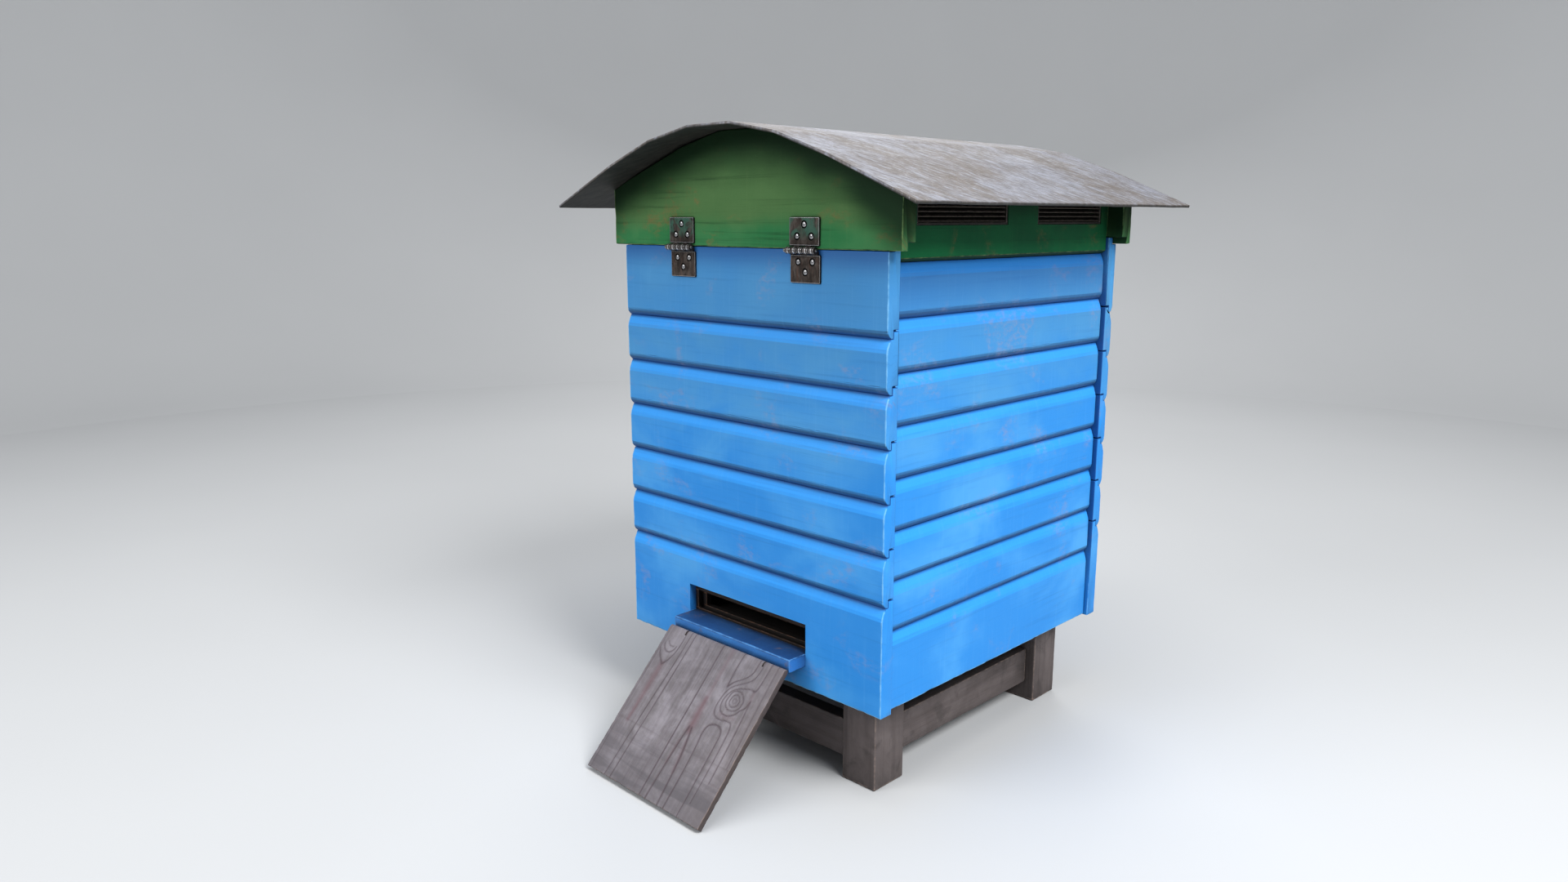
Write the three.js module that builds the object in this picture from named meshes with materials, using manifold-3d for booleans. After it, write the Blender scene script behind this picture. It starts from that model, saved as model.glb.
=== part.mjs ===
// Beehive: a shiplap-clad body on a four-legged stand, ten deep frames and a
// crown board inside, and a gabled roof under a bent sheet, hinged along the
// front. A ramp hangs in front of the entrance shelf.
// Millimetres, +Z up. The front faces -Y and left is -X. The origin is on the
// ground, midway between the ramp's tip and the roof's rear edge. Inside the
// hive group, y = 0 is the outer face of the front boards and z = 0 their lower edge.
import * as THREE from 'three';
import { mergeVertices } from 'three/addons/utils/BufferGeometryUtils.js';
import Module from 'manifold-3d';

const wasm = await Module();
wasm.setup();

// ---------------------------------------------------------------- shared dimensions
const GAP = 0.2;              // clearance between neighbouring pieces
const LOOSE_GAP = 0.3;        // clearance where pieces fit more freely

// body
const BODY_W = 472;           // length of a front or rear board, along X
const BODY_D = 508;           // outer face of front boards to outer face of rear boards
const BOARD_T = 20;
const SIDE_X = BODY_W / 2 - 3.9;   // outer face of the side panels
const WALL_TOP = 552.8;       // top of the outer half of the front and rear walls
const SIDE_TOP = 539.6;       // seam between the side panels and the roof's side boards
const INNER_X = SIDE_X - BOARD_T - LOOSE_GAP;
const INNER_Y = [BOARD_T + LOOSE_GAP, BODY_D - BOARD_T - LOOSE_GAP];
const POST_TOP = 555;
const FRAME_TOP = 547;
const LUG_T = 10;             // thickness of the frames' lugs

// entrance and shelf
const ENT_HALF = 111.7;       // half width of the entrance cut-out
const ENT_TOP = 86.5;
const SHELF_Z = 30;           // underside of the shelf and of the floor board
const SHELF_T = 17;
const SHELF_TOP = SHELF_Z + SHELF_T;

// ramp, stand and roof sizes that place the hive over its origin
const LEG_H = 125.4;          // ground to the body's lower edge
const RAMP_T = 9;
const RAMP_SLOPE = THREE.MathUtils.degToRad(46.6);   // below level
const RAMP_AXIS_Y = -34.8;
const RAMP_AXIS_Z = 31.6;
const RAMP_GROUND_GAP = 0.3;
const RAMP_LEN = (RAMP_AXIS_Z + LEG_H - RAMP_GROUND_GAP - (RAMP_T / 2) * Math.cos(RAMP_SLOPE))
  / Math.sin(RAMP_SLOPE);
const RAMP_TIP_Y = RAMP_AXIS_Y - RAMP_LEN * Math.cos(RAMP_SLOPE)
  - (RAMP_T / 2) * Math.sin(RAMP_SLOPE);
const ROOF_Y = [-55, 565];    // front and rear edges of the roof sheet

const SIDES = [['left', -1], ['right', 1]];

// ---------------------------------------------------------------- materials
const material = ({ color, roughness, metalness = 0 }) =>
  new THREE.MeshStandardMaterial({ color, roughness, metalness, flatShading: true });
const blue = () => material({ color: 0x4a98d8, roughness: 0.55 });
const green = () => material({ color: 0x2f6b3d, roughness: 0.6 });
const darkWood = () => material({ color: 0x5a4f4c, roughness: 0.8 });
const rampWood = () => material({ color: 0x7a7276, roughness: 0.75 });
const sheetMetal = () => material({ color: 0x8d8580, roughness: 0.65, metalness: 0.3 });
const ventMetal = () => material({ color: 0x2c2220, roughness: 0.6, metalness: 0.4 });
const hingeMetal = () => material({ color: 0x4f4540, roughness: 0.5, metalness: 0.8 });
const pine = () => material({ color: 0xb98f5e, roughness: 0.7 });
const insertWood = () => material({ color: 0x6a4630, roughness: 0.7 });

// ---------------------------------------------------------------- solids
const toSolid = (geometry) => {
  const bare = geometry.clone();
  bare.deleteAttribute('normal');
  bare.deleteAttribute('uv');
  const merged = mergeVertices(bare, 1e-4);
  return new wasm.Manifold(new wasm.Mesh({
    numProp: 3,
    vertProperties: new Float32Array(merged.attributes.position.array),
    triVerts: new Uint32Array(merged.index.array),
  }));
};
const toGeometry = (solid) => {
  const mesh = solid.getMesh();
  const geometry = new THREE.BufferGeometry();
  const positions = new Float32Array(mesh.vertProperties);
  geometry.setAttribute('position', new THREE.BufferAttribute(positions, 3));
  geometry.setIndex(new THREE.BufferAttribute(new Uint32Array(mesh.triVerts), 1));
  geometry.computeVertexNormals();
  return geometry;
};
const union = (...parts) => toGeometry(parts.map(toSolid).reduce((a, b) => a.add(b)));
const cut = (base, ...tools) =>
  toGeometry(tools.map(toSolid).reduce((a, b) => a.subtract(b), toSolid(base)));

// A span is a [low, high] pair along one axis.
const around = (centre, halfSize) => [centre - halfSize, centre + halfSize];
const grow = ([low, high], margin) => [low - margin, high + margin];
// span of a piece of the given width whose outer face is at outerX on the left or right
const sideSpan = (sign, outerX, width) =>
  (sign > 0 ? [outerX - width, outerX] : [-outerX, -outerX + width]);
// named spans of two pieces of the given depth, at the front and rear of a span
const endSpans = ([front, rear], depth) =>
  [['front', [front, front + depth]], ['rear', [rear - depth, rear]]];
const THROUGH_X = [-300, 300];   // wider than the whole hive, for cutting tools

const box = ([x0, x1], [y0, y1], [z0, z1]) =>
  new THREE.BoxGeometry(x1 - x0, y1 - y0, z1 - z0)
    .translate((x0 + x1) / 2, (y0 + y1) / 2, (z0 + z1) / 2);

const extrude = (points, depth) => {
  const shape = new THREE.Shape(points.map(([a, b]) => new THREE.Vector2(a, b)));
  return new THREE.ExtrudeGeometry(shape, { depth, bevelEnabled: false, steps: 1 });
};
// profile of [y, z] points swept along X
const prismX = (points, [x0, x1]) => extrude(points, x1 - x0)
  .applyMatrix4(new THREE.Matrix4().set(0, 0, 1, x0, 1, 0, 0, 0, 0, 1, 0, 0, 0, 0, 0, 1));
// profile of [x, z] points swept along Y
const prismY = (points, [y0, y1]) => extrude(points, y1 - y0)
  .applyMatrix4(new THREE.Matrix4().set(1, 0, 0, 0, 0, 0, -1, y1, 0, 1, 0, 0, 0, 0, 0, 1));
const rodX = ([x0, x1], radius, y, z, segments = 20) =>
  new THREE.CylinderGeometry(radius, radius, x1 - x0, segments)
    .rotateZ(Math.PI / 2)
    .translate((x0 + x1) / 2, y, z);

// ---------------------------------------------------------------- scene graph
const hive = new THREE.Group();
hive.position.set(0, -(RAMP_TIP_Y + ROOF_Y[1]) / 2, LEG_H);

const add = (name, geometry, meshMaterial, parent = hive) => {
  const mesh = new THREE.Mesh(geometry, meshMaterial);
  mesh.name = name;
  parent.add(mesh);
};
// the same upright at all four corners
const addCorners = (name, { outerX, width, ySpan, depth, zSpan, finish }) => {
  for (const [end, y] of endSpans(ySpan, depth)) {
    for (const [side, sign] of SIDES) {
      add(`${name}_${end}_${side}`, box(sideSpan(sign, outerX, width), y, zSpan), finish());
    }
  }
};

// ---------------------------------------------------------------- shiplap profiles
// Profile points are [depth, z], where depth 0 is the outer face. A seam is the
// height where two boards meet: the upper board's lip hangs over the lower one's tongue.
const TONGUE = 9;             // height of a tongue above its seam
const LAP = 10;               // depth from the outer face to the lap joint
const GROOVE_D = 6;           // depth of the V between two boards
const LIP_HEADROOM = 1;       // space over a tongue, under the board above
const EDGE_BEVEL = 1.2;       // bevel on the lowest outer edges
const TOP_BEVEL = 1;          // bevel on the top outer edge of a wall

// rounded bevel on top of the lower board, going up
const lowerBevel = (seam) => [[0, seam - 16], [0.9, seam - 11.4], [3.6, seam - 4.6]];
// rounded bevel under the upper board, going up
const upperBevel = (seam) => [[3.1, seam + 2.4], [0.9, seam + 5.6], [0, seam + 9]];
const bottomEdge = (z) => [[BOARD_T, z], [EDGE_BEVEL, z], [0, z + EDGE_BEVEL]];
const lip = (seam, gap) => [
  [BOARD_T, seam + TONGUE + LIP_HEADROOM], [LAP, seam + TONGUE + LIP_HEADROOM],
  [LAP, seam + gap], [GROOVE_D, seam + gap], ...upperBevel(seam),
];
const tongue = (seam) => [
  ...lowerBevel(seam), [GROOVE_D, seam],
  [LAP + GAP, seam], [LAP + GAP, seam + TONGUE], [BOARD_T, seam + TONGUE],
];
const wallTopEdge = () => {
  const top = WALL_TOP - GAP;
  return [[0, top - TOP_BEVEL], [TOP_BEVEL, top],
    [LAP, top], [LAP, top + TONGUE], [BOARD_T, top + TONGUE]];
};

// ---------------------------------------------------------------- front and rear walls
const FRONT_SEAMS = [455.6, 391.7, 328.2, 264.0, 200.3, 138.3];   // top to bottom
const LUG_REBATE_HALF = 195;
const CUT_OVER = 5;           // how far a tool overshoots a board's face
const CUT_TOP = 600;

// A rear profile is mirrored, and reversed to keep its winding.
const placeFront = (profile) => profile;
const placeRear = (profile) => profile.map(([depth, z]) => [BODY_D - depth, z]).reverse();

// boards are numbered from the top; cuts holds a cutting tool by board number
const addWall = (prefix, place, cuts) => {
  for (let i = 0; i <= FRONT_SEAMS.length; i++) {
    const isTop = i === 0;
    const isBottom = i === FRONT_SEAMS.length;
    const profile = [
      ...(isBottom ? bottomEdge(0) : lip(FRONT_SEAMS[i], GAP)),
      ...(isTop ? wallTopEdge() : tongue(FRONT_SEAMS[i - 1])),
    ];
    const board = prismX(place(profile), around(0, BODY_W / 2));
    const tool = cuts[i + 1];
    add(`${prefix}_${i + 1}`, tool ? cut(board, tool) : board, blue());
  }
};
// rebate for the frame lugs behind a top board, between the corner posts
const lugRebate = (ySpan) =>
  box(around(0, LUG_REBATE_HALF), ySpan, [FRAME_TOP - LUG_T - GAP, CUT_TOP]);
const entranceCut = box(around(0, ENT_HALF), grow([0, BOARD_T], CUT_OVER),
  [SHELF_Z - GAP, ENT_TOP]);

addWall('front_board', placeFront, {
  1: lugRebate([LAP, BOARD_T + CUT_OVER]),
  7: entranceCut,
});
addWall('rear_board', placeRear, {
  1: lugRebate([BODY_D - BOARD_T - CUT_OVER, BODY_D - LAP]),
});

// ---------------------------------------------------------------- side panels
// Each panel is one piece with seven grooves, between the front and rear walls.
const SIDE_SEAMS = [101.6, 164.3, 225.7, 288.5, 351.4, 413.5, 476.1];   // bottom to top
const SIDE_BOTTOM = 3;
const SIDE_REAR_GAP = 1.2;
const GROOVE_HALF = 0.2;      // half height of a groove's flat bottom

// the right side is mirrored, and reversed to keep its winding
const sideSweep = (sign, profile, ySpan) => {
  const points = profile.map(([depth, z]) => [sign * (SIDE_X - depth), z]);
  return prismY(sign > 0 ? points.reverse() : points, ySpan);
};
const panelProfile = [
  ...bottomEdge(SIDE_BOTTOM),
  ...SIDE_SEAMS.flatMap((seam) => [
    ...lowerBevel(seam),
    [GROOVE_D, seam - GROOVE_HALF], [GROOVE_D, seam + GROOVE_HALF],
    ...upperBevel(seam),
  ]),
  ...tongue(SIDE_TOP),
];
for (const [side, sign] of SIDES) {
  const ySpan = [INNER_Y[0], BODY_D - BOARD_T - SIDE_REAR_GAP];
  add(`${side}_side_panel`, sideSweep(sign, panelProfile, ySpan), blue());
}

// ---------------------------------------------------------------- posts and floor
const POST = 20;              // corner posts are square
addCorners('corner_post', {
  outerX: INNER_X,
  width: POST,
  ySpan: INNER_Y,
  depth: POST,
  zSpan: [SHELF_TOP + GAP, POST_TOP],
  finish: pine,
});
add('floor_board', box(around(0, INNER_X), INNER_Y, [SHELF_Z, SHELF_TOP]), pine());

// ---------------------------------------------------------------- frames
const FRAME_COUNT = 10;
const FRAME_PITCH = 38;
const FRAME_BOTTOM = 77;
const FRAME_HALF = 224;       // half length without the lugs, along Y
const LUG_HALF = 240.5;       // half length over the lugs
const TOP_BAR_T = 19;
const BOTTOM_BAR_T = 9.5;
const SIDE_BAR_T = 9.5;
const SHOULDER_Z = 420;       // the side bars are wider above this height
// half widths along X
const TOP_BAR_HALF = 13.5;
const SHOULDER_HALF = 17.3;
const SIDE_BAR_HALF = 14;
const BOTTOM_BAR_HALF = 9.5;
const CENTRE_PANEL_HALF = 10;

const frame = (x) => {
  const bar = (halfWidth, halfLength, zSpan) =>
    box(around(x, halfWidth), around(BODY_D / 2, halfLength), zSpan);
  const frameY = around(BODY_D / 2, FRAME_HALF);
  const sideBars = endSpans(frameY, SIDE_BAR_T).flatMap(([, ySpan]) => [
    box(around(x, SHOULDER_HALF), ySpan, [SHOULDER_Z, FRAME_TOP - 11]),
    box(around(x, SIDE_BAR_HALF), ySpan, [FRAME_BOTTOM, SHOULDER_Z + 1]),
  ]);
  return union(
    bar(TOP_BAR_HALF, FRAME_HALF, [FRAME_TOP - TOP_BAR_T, FRAME_TOP]),
    bar(TOP_BAR_HALF, LUG_HALF, [FRAME_TOP - LUG_T, FRAME_TOP]),
    ...sideBars,
    bar(BOTTOM_BAR_HALF, FRAME_HALF - 2, [FRAME_BOTTOM, FRAME_BOTTOM + BOTTOM_BAR_T]),
    bar(CENTRE_PANEL_HALF, FRAME_HALF - 8, [FRAME_BOTTOM + 9, FRAME_TOP - 18]),
  );
};
for (let i = 0; i < FRAME_COUNT; i++) {
  const x = (i - (FRAME_COUNT - 1) / 2) * FRAME_PITCH;
  add(`frame_${String(i + 1).padStart(2, '0')}`, frame(x), pine());
}

// ---------------------------------------------------------------- crown board
// thin plate with a raised rim and an oval bee escape
const CROWN_HALF = 209;
const CROWN_Y = [24, BODY_D - 24];
const CROWN_H = 14;
const CROWN_PLATE_TOP = POST_TOP + 6;
const CROWN_RIM = 20;
const ESCAPE_HALF = 25;       // half length of the oval's straight part
const ESCAPE_R = 15;

const escapeTool = () => {
  const oval = new THREE.Shape();
  oval.moveTo(-ESCAPE_HALF, -ESCAPE_R);
  oval.lineTo(ESCAPE_HALF, -ESCAPE_R);
  oval.absarc(ESCAPE_HALF, 0, ESCAPE_R, -Math.PI / 2, Math.PI / 2, false);
  oval.lineTo(-ESCAPE_HALF, ESCAPE_R);
  oval.absarc(-ESCAPE_HALF, 0, ESCAPE_R, Math.PI / 2, Math.PI * 1.5, false);
  return new THREE.ExtrudeGeometry(oval, { depth: 60, bevelEnabled: false, curveSegments: 10 })
    .translate(0, BODY_D / 2, POST_TOP - 20);
};
add('crown_board', cut(
  box(around(0, CROWN_HALF), CROWN_Y, [POST_TOP + GAP, POST_TOP + CROWN_H]),
  box(around(0, CROWN_HALF - CROWN_RIM), grow(CROWN_Y, -CROWN_RIM),
    [CROWN_PLATE_TOP, POST_TOP + 30]),
  escapeTool(),
), pine());

// ---------------------------------------------------------------- entrance
// the entrance frame stands in a rebate along the back of the shelf
const REBATE_Y = 10.5;
const REBATE_DEPTH = 1;
const REBATE_Z = SHELF_TOP - REBATE_DEPTH;
const ENT_FRAME_BACK = 28;
const ENT_SPAN = around(0, ENT_HALF - GAP);
// stepped opening, front to back: [half width, y span, z span]
const ENT_OPENINGS = [
  [105.5, [5, 15], [50.2, 76.5]],
  [108, [14.9, 19], [48.9, 80]],
  [98, [14, 40], [53, 71]],
];
add('entrance_frame', cut(
  union(
    box(ENT_SPAN, [REBATE_Y, ENT_FRAME_BACK], [SHELF_TOP + GAP, ENT_TOP - GAP]),
    box(ENT_SPAN, [REBATE_Y, BOARD_T - 0.4], [REBATE_Z + GAP, SHELF_TOP + 1]),
  ),
  ...ENT_OPENINGS.map(([halfWidth, ySpan, zSpan]) => box(around(0, halfWidth), ySpan, zSpan)),
), insertWood());

const SHELF_FRONT = -28.6;
const SHELF_TOP_BEVEL = 1.4;
const SHELF_LOW_BEVEL = 1;
add('landing_shelf', prismX([
  [SHELF_FRONT + SHELF_LOW_BEVEL, SHELF_Z], [SHELF_FRONT, SHELF_Z + SHELF_LOW_BEVEL],
  [SHELF_FRONT, SHELF_TOP - SHELF_TOP_BEVEL], [SHELF_FRONT + SHELF_TOP_BEVEL, SHELF_TOP],
  [REBATE_Y - GAP, SHELF_TOP], [REBATE_Y - GAP, REBATE_Z],
  [BOARD_T - GAP, REBATE_Z], [BOARD_T - GAP, SHELF_Z],
], ENT_SPAN), blue());

// ---------------------------------------------------------------- ramp
// a plank whose round-nosed top end turns on a rod
const RAMP_HALF = 111;
const RAMP_ROD_R = 1.5;
const RAMP_BORE_R = RAMP_ROD_R + 0.25;
const RAMP_BORE_SPAN = around(0, 120);
const RAMP_EYES = [-75, 75];  // X of the bracket's eyes
const NOSE_STEPS = 8;

// built about the rod's axis, the plank lying along -Y before the group tilts it
const rampGroup = new THREE.Group();
rampGroup.position.set(0, RAMP_AXIS_Y, RAMP_AXIS_Z);
rampGroup.rotation.x = RAMP_SLOPE;
hive.add(rampGroup);

const plankProfile = [[-RAMP_LEN, RAMP_T / 2], [-RAMP_LEN, -RAMP_T / 2]];
for (let i = 0; i <= NOSE_STEPS; i++) {
  const angle = -Math.PI / 2 + (Math.PI * i) / NOSE_STEPS;
  plankProfile.push([(RAMP_T / 2) * Math.cos(angle), (RAMP_T / 2) * Math.sin(angle)]);
}
const eyeNotch = (x) => box(around(x, 1.3), [-4.2, 10], [-8, 8]);
add('landing_ramp', cut(
  prismX(plankProfile, around(0, RAMP_HALF)),
  rodX(RAMP_BORE_SPAN, RAMP_BORE_R, 0, 0),
  ...RAMP_EYES.map(eyeNotch),
), rampWood(), rampGroup);

add('ramp_hinge_rod',
  rodX(around(0, RAMP_HALF - 4), RAMP_ROD_R, RAMP_AXIS_Y, RAMP_AXIS_Z, 16), hingeMetal());

// strip under the shelf, with two arms that end in eyes round the rod
const STRIP_Z = [SHELF_Z - 2.2, SHELF_Z - 0.4];
const STRIP_Y = [-26, -4];
const STRIP_HALF = 95;
const EYE_R = 3.5;
const ARM_HALF = 1;
const ARM_PROFILE = [         // [y, z]
  [-24, STRIP_Z[0]], [-24, STRIP_Z[1]], [-30, STRIP_Z[1]],
  [-33, RAMP_AXIS_Z], [-36, SHELF_Z - 0.6], [-33.5, STRIP_Z[0]],
];
const bracketArm = (x) => [
  rodX(around(x, ARM_HALF), EYE_R, RAMP_AXIS_Y, RAMP_AXIS_Z),
  prismX(ARM_PROFILE, around(x, ARM_HALF)),
];
add('ramp_hinge_bracket', cut(
  union(box(around(0, STRIP_HALF), STRIP_Y, STRIP_Z), ...RAMP_EYES.flatMap(bracketArm)),
  rodX(RAMP_BORE_SPAN, RAMP_BORE_R, RAMP_AXIS_Y, RAMP_AXIS_Z),
), hingeMetal());

// ---------------------------------------------------------------- stand
const LEG_W = 54.6;
const LEG_D = 57.5;
const LEG_X = 197.3;          // outer face of the legs
const LEG_Y = [38.1, 466];    // front face of the front legs, rear face of the rear legs
const RAIL_T = 22;
const RAIL_INSET = 4.4;       // front and rear rails sit in from the legs' outer faces
const RAIL_SIDE_X = 182.4;    // outer face of the side rails
const RAIL_H = 51.6;
const RAIL_BOTTOM = -97.6;
const RAIL_Z = [RAIL_BOTTOM, RAIL_BOTTOM + RAIL_H];

addCorners('stand_leg', {
  outerX: LEG_X,
  width: LEG_W,
  ySpan: LEG_Y,
  depth: LEG_D,
  zSpan: [-LEG_H, SHELF_Z - GAP],
  finish: darkWood,
});
for (const [end, ySpan] of endSpans(grow(LEG_Y, -RAIL_INSET), RAIL_T)) {
  add(`stand_rail_${end}`, box(around(0, LEG_X - LEG_W - GAP), ySpan, RAIL_Z), darkWood());
}
for (const [side, sign] of SIDES) {
  const xSpan = sideSpan(sign, RAIL_SIDE_X, RAIL_T);
  add(`stand_rail_${side}`, box(xSpan, grow(LEG_Y, -LEG_D - GAP), RAIL_Z), darkWood());
}

// ---------------------------------------------------------------- roof sheet
const SHEET_T = 3.6;
// [x, z] of the bends in the right half's upper surface, ending at the eave
const ROOF_BENDS = [[37.2, 699.07], [112.3, 685.2], [192.4, 657.3], [314.4, 606.1]];

const direction = (from, to) => {
  const length = Math.hypot(to[0] - from[0], to[1] - from[1]);
  return [(to[0] - from[0]) / length, (to[1] - from[1]) / length];
};
// moves a polyline sideways, to the right of its direction, with mitred bends
const offset = (points, distance) => points.map((point, i) => {
  const before = i > 0 ? direction(points[i - 1], point) : direction(point, points[i + 1]);
  const after = i < points.length - 1 ? direction(point, points[i + 1]) : before;
  const normalA = [before[1], -before[0]];
  const normalB = [after[1], -after[0]];
  const reach = distance / (1 + normalA[0] * normalB[0] + normalA[1] * normalB[1]);
  return [
    point[0] + (normalA[0] + normalB[0]) * reach,
    point[1] + (normalA[1] + normalB[1]) * reach,
  ];
});
const upper = [...[...ROOF_BENDS].reverse().map(([x, z]) => [-x, z]), ...ROOF_BENDS];
const lower = offset(upper, SHEET_T);
add('roof_sheet', prismY([...lower, ...[...upper].reverse()], ROOF_Y), sheetMetal());

// height of the sheet's underside at a distance x from the middle
const lowerRight = lower.filter(([x]) => x > 0);
const undersideZ = (x) => {
  if (x <= lowerRight[0][0]) return lowerRight[0][1];
  const i = lowerRight.findIndex(([bendX]) => x <= bendX);
  const [x0, z0] = lowerRight[i - 1];
  const [x1, z1] = lowerRight[i];
  return z0 + (z1 - z0) * (x - x0) / (x1 - x0);
};

// ---------------------------------------------------------------- gables
const GABLE_HALF = 255.7;
const GABLE_PROUD = 2;        // how far a gable stands out of the wall below
const GABLE_T = 22.6;
const GABLE_LIP = 9.5;        // thickness left in front of the wall's tongue
// [x, drop below the sheet's underside] along the arched top edge
const GABLE_DROPS = [
  [0, 0.5], [37, 0.6], [60, 1.4], [82, 2.4], [112, 3.6],
  [139, 3.6], [165, 3.4], [192, 3.4], [222, 1.4], [GABLE_HALF, 0.5],
];
const gableArch = GABLE_DROPS.map(([x, drop]) => [x, undersideZ(x) - drop]);
const gableShape = [
  [-GABLE_HALF, WALL_TOP], [GABLE_HALF, WALL_TOP],
  ...[...gableArch].reverse(), ...gableArch.slice(1).map(([x, z]) => [-x, z]),
];
// the rebate clears the top board's tongue
const gable = (ySpan, rebateY) => cut(prismY(gableShape, ySpan),
  box(THROUGH_X, rebateY, [500, WALL_TOP + TONGUE + LOOSE_GAP]));
const [[, gableFrontY], [, gableRearY]] = endSpans(grow([0, BODY_D], GABLE_PROUD), GABLE_T);
add('gable_front', gable(gableFrontY, [GABLE_LIP - GABLE_PROUD, 40]), green());
add('gable_rear', gable(gableRearY, [BODY_D - 40, BODY_D + GABLE_PROUD - GABLE_LIP]), green());

// ---------------------------------------------------------------- roof sides and vents
const ROOF_SIDE_GAP = 0.5;    // under the sheet
const TONGUE_NOTCHES_Y = [[0, 22.5], [485.2, 600]];   // clear the wall tongues
const VENTS = [['front', [55.6, 233.2]], ['rear', [308, 465]]];   // louvre spans along Y
const VENT_Z = [583.5, 622];
const VENT_BORDER = 3.4;
const VENT_INSET = 0.8;       // grille behind the board's outer face
const VENT_DEPTH = 9;
const SLAT_COUNT = 7;
const SLAT_PITCH = 5.5;
const SLAT_W = 7.4;
const SLAT_T = 1.2;
const SLAT_TILT = THREE.MathUtils.degToRad(32);

const roofSide = (sign) => {
  const profile = [
    ...lip(SIDE_TOP, LOOSE_GAP),
    [0, undersideZ(SIDE_X) - ROOF_SIDE_GAP],
    [BOARD_T, undersideZ(SIDE_X - BOARD_T) - ROOF_SIDE_GAP],
  ];
  return cut(
    sideSweep(sign, profile, [gableFrontY[1] + LOOSE_GAP, gableRearY[0] - LOOSE_GAP]),
    ...VENTS.map(([, ySpan]) => box(around(sign * SIDE_X, 40),
      grow(ySpan, VENT_BORDER), grow(VENT_Z, VENT_BORDER))),
    ...TONGUE_NOTCHES_Y.map((ySpan) => box(THROUGH_X, ySpan, [500, WALL_TOP + TONGUE + 2])),
  );
};
// built for the right side; the left one is turned half round about Z
const ventGrille = (sign, ySpan) => {
  const outerX = SIDE_X - VENT_INSET;
  const [y0, y1] = ySpan;
  const border = VENT_BORDER - GAP;
  const rim = cut(
    box([outerX - VENT_DEPTH, outerX], grow(ySpan, border), grow(VENT_Z, border)),
    box([outerX - VENT_DEPTH - 5, outerX + 5], ySpan, VENT_Z),
  );
  const slats = [];
  for (let i = 0; i < SLAT_COUNT; i++) {
    slats.push(new THREE.BoxGeometry(SLAT_W, y1 - y0 + 2, SLAT_T)
      .rotateY(SLAT_TILT)
      .translate(outerX - 4.6, (y0 + y1) / 2, VENT_Z[0] + 3 + SLAT_PITCH * i));
  }
  const grille = union(rim, ...slats);
  if (sign < 0) {
    grille.applyMatrix4(new THREE.Matrix4().makeRotationZ(Math.PI).setPosition(0, y0 + y1, 0));
  }
  return grille;
};
for (const [side, sign] of SIDES) {
  add(`roof_side_${side}`, roofSide(sign), green());
  for (const [end, ySpan] of VENTS) {
    add(`vent_grille_${side}_${end}`, ventGrille(sign, ySpan), ventMetal());
  }
}

// ---------------------------------------------------------------- roof hinges
// Two leaves with five knuckles between them, a pin headed at its left end, and
// three domed screws to a leaf. The screws are fused with the leaf they hold.
const HINGE_X = 110.6;
const HINGE_W = 48.4;
const HINGE_Y = -6.5;         // axis
const HINGE_Z = 551.2;
const KNUCKLE_R = 4.25;
const KNUCKLE_COUNT = 5;
const KNUCKLE_PITCH = (HINGE_W - 1) / KNUCKLE_COUNT;
const KNUCKLE_START = 2;      // the first knuckle starts this far left of the leaf
const KNUCKLE_GAP = 0.15;     // at each end of a knuckle
const PIN_R = 1.6;
const LEAF_T = 2;
const SCREW_SPREAD = 11.5;    // paired screws, either side of the middle
// screw head outline: [radius, height above the leaf]
const SCREW_PROFILE = [[0, -1], [3.6, -1], [3.6, 0], [3.0, 0.9], [1.6, 1.5], [0, 1.7]];
// The web joins a leaf to its knuckles, every second one from firstKnuckle.
const LEAVES = {
  body: {
    backY: -0.1,
    leafZ: [512.8, 545.9],
    pairZ: 537.8,
    singleZ: 525.8,
    webZ: [545, HINGE_Z - 0.4],
    firstKnuckle: 0,
  },
  roof: {
    backY: -GABLE_PROUD - 0.1,
    leafZ: [556.6, 589.6],
    pairZ: 567.4,
    singleZ: 581.2,
    webZ: [HINGE_Z + 0.4, 557.5],
    firstKnuckle: 1,
  },
};

const screwHead = (x, y, z) => {
  const points = SCREW_PROFILE.map(([radius, height]) => new THREE.Vector2(radius, height));
  return new THREE.LatheGeometry(points, 12).rotateX(Math.PI).translate(x, y, z);
};
const hingeLeaf = (centreX, { backY, leafZ, pairZ, singleZ, webZ, firstKnuckle }) => {
  const xSpan = around(centreX, HINGE_W / 2);
  const faceY = backY - LEAF_T;
  const parts = [
    box(xSpan, [faceY, backY], leafZ),
    screwHead(centreX - SCREW_SPREAD, faceY, pairZ),
    screwHead(centreX + SCREW_SPREAD, faceY, pairZ),
    screwHead(centreX, faceY, singleZ),
  ];
  for (let i = firstKnuckle; i < KNUCKLE_COUNT; i += 2) {
    const start = xSpan[0] - KNUCKLE_START + KNUCKLE_PITCH * i;
    const [x0, x1] = grow([start, start + KNUCKLE_PITCH], -KNUCKLE_GAP);
    parts.push(
      rodX([x0, x1], KNUCKLE_R, HINGE_Y, HINGE_Z),
      box([Math.max(x0, xSpan[0]), x1], [HINGE_Y + 0.6, backY], webZ),
    );
  }
  return cut(union(...parts), rodX(grow(xSpan, 20), PIN_R + 0.2, HINGE_Y, HINGE_Z));
};
const hingePin = (centreX) => {
  const x0 = centreX - HINGE_W / 2 - KNUCKLE_START;
  const x1 = x0 + KNUCKLE_PITCH * KNUCKLE_COUNT;
  return union(
    rodX([x0 - 0.6, x1 + 1.4], PIN_R, HINGE_Y, HINGE_Z, 16),
    rodX([x0 - 2.2, x0 - 0.3], PIN_R + 1.1, HINGE_Y, HINGE_Z, 16),
  );
};
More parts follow.
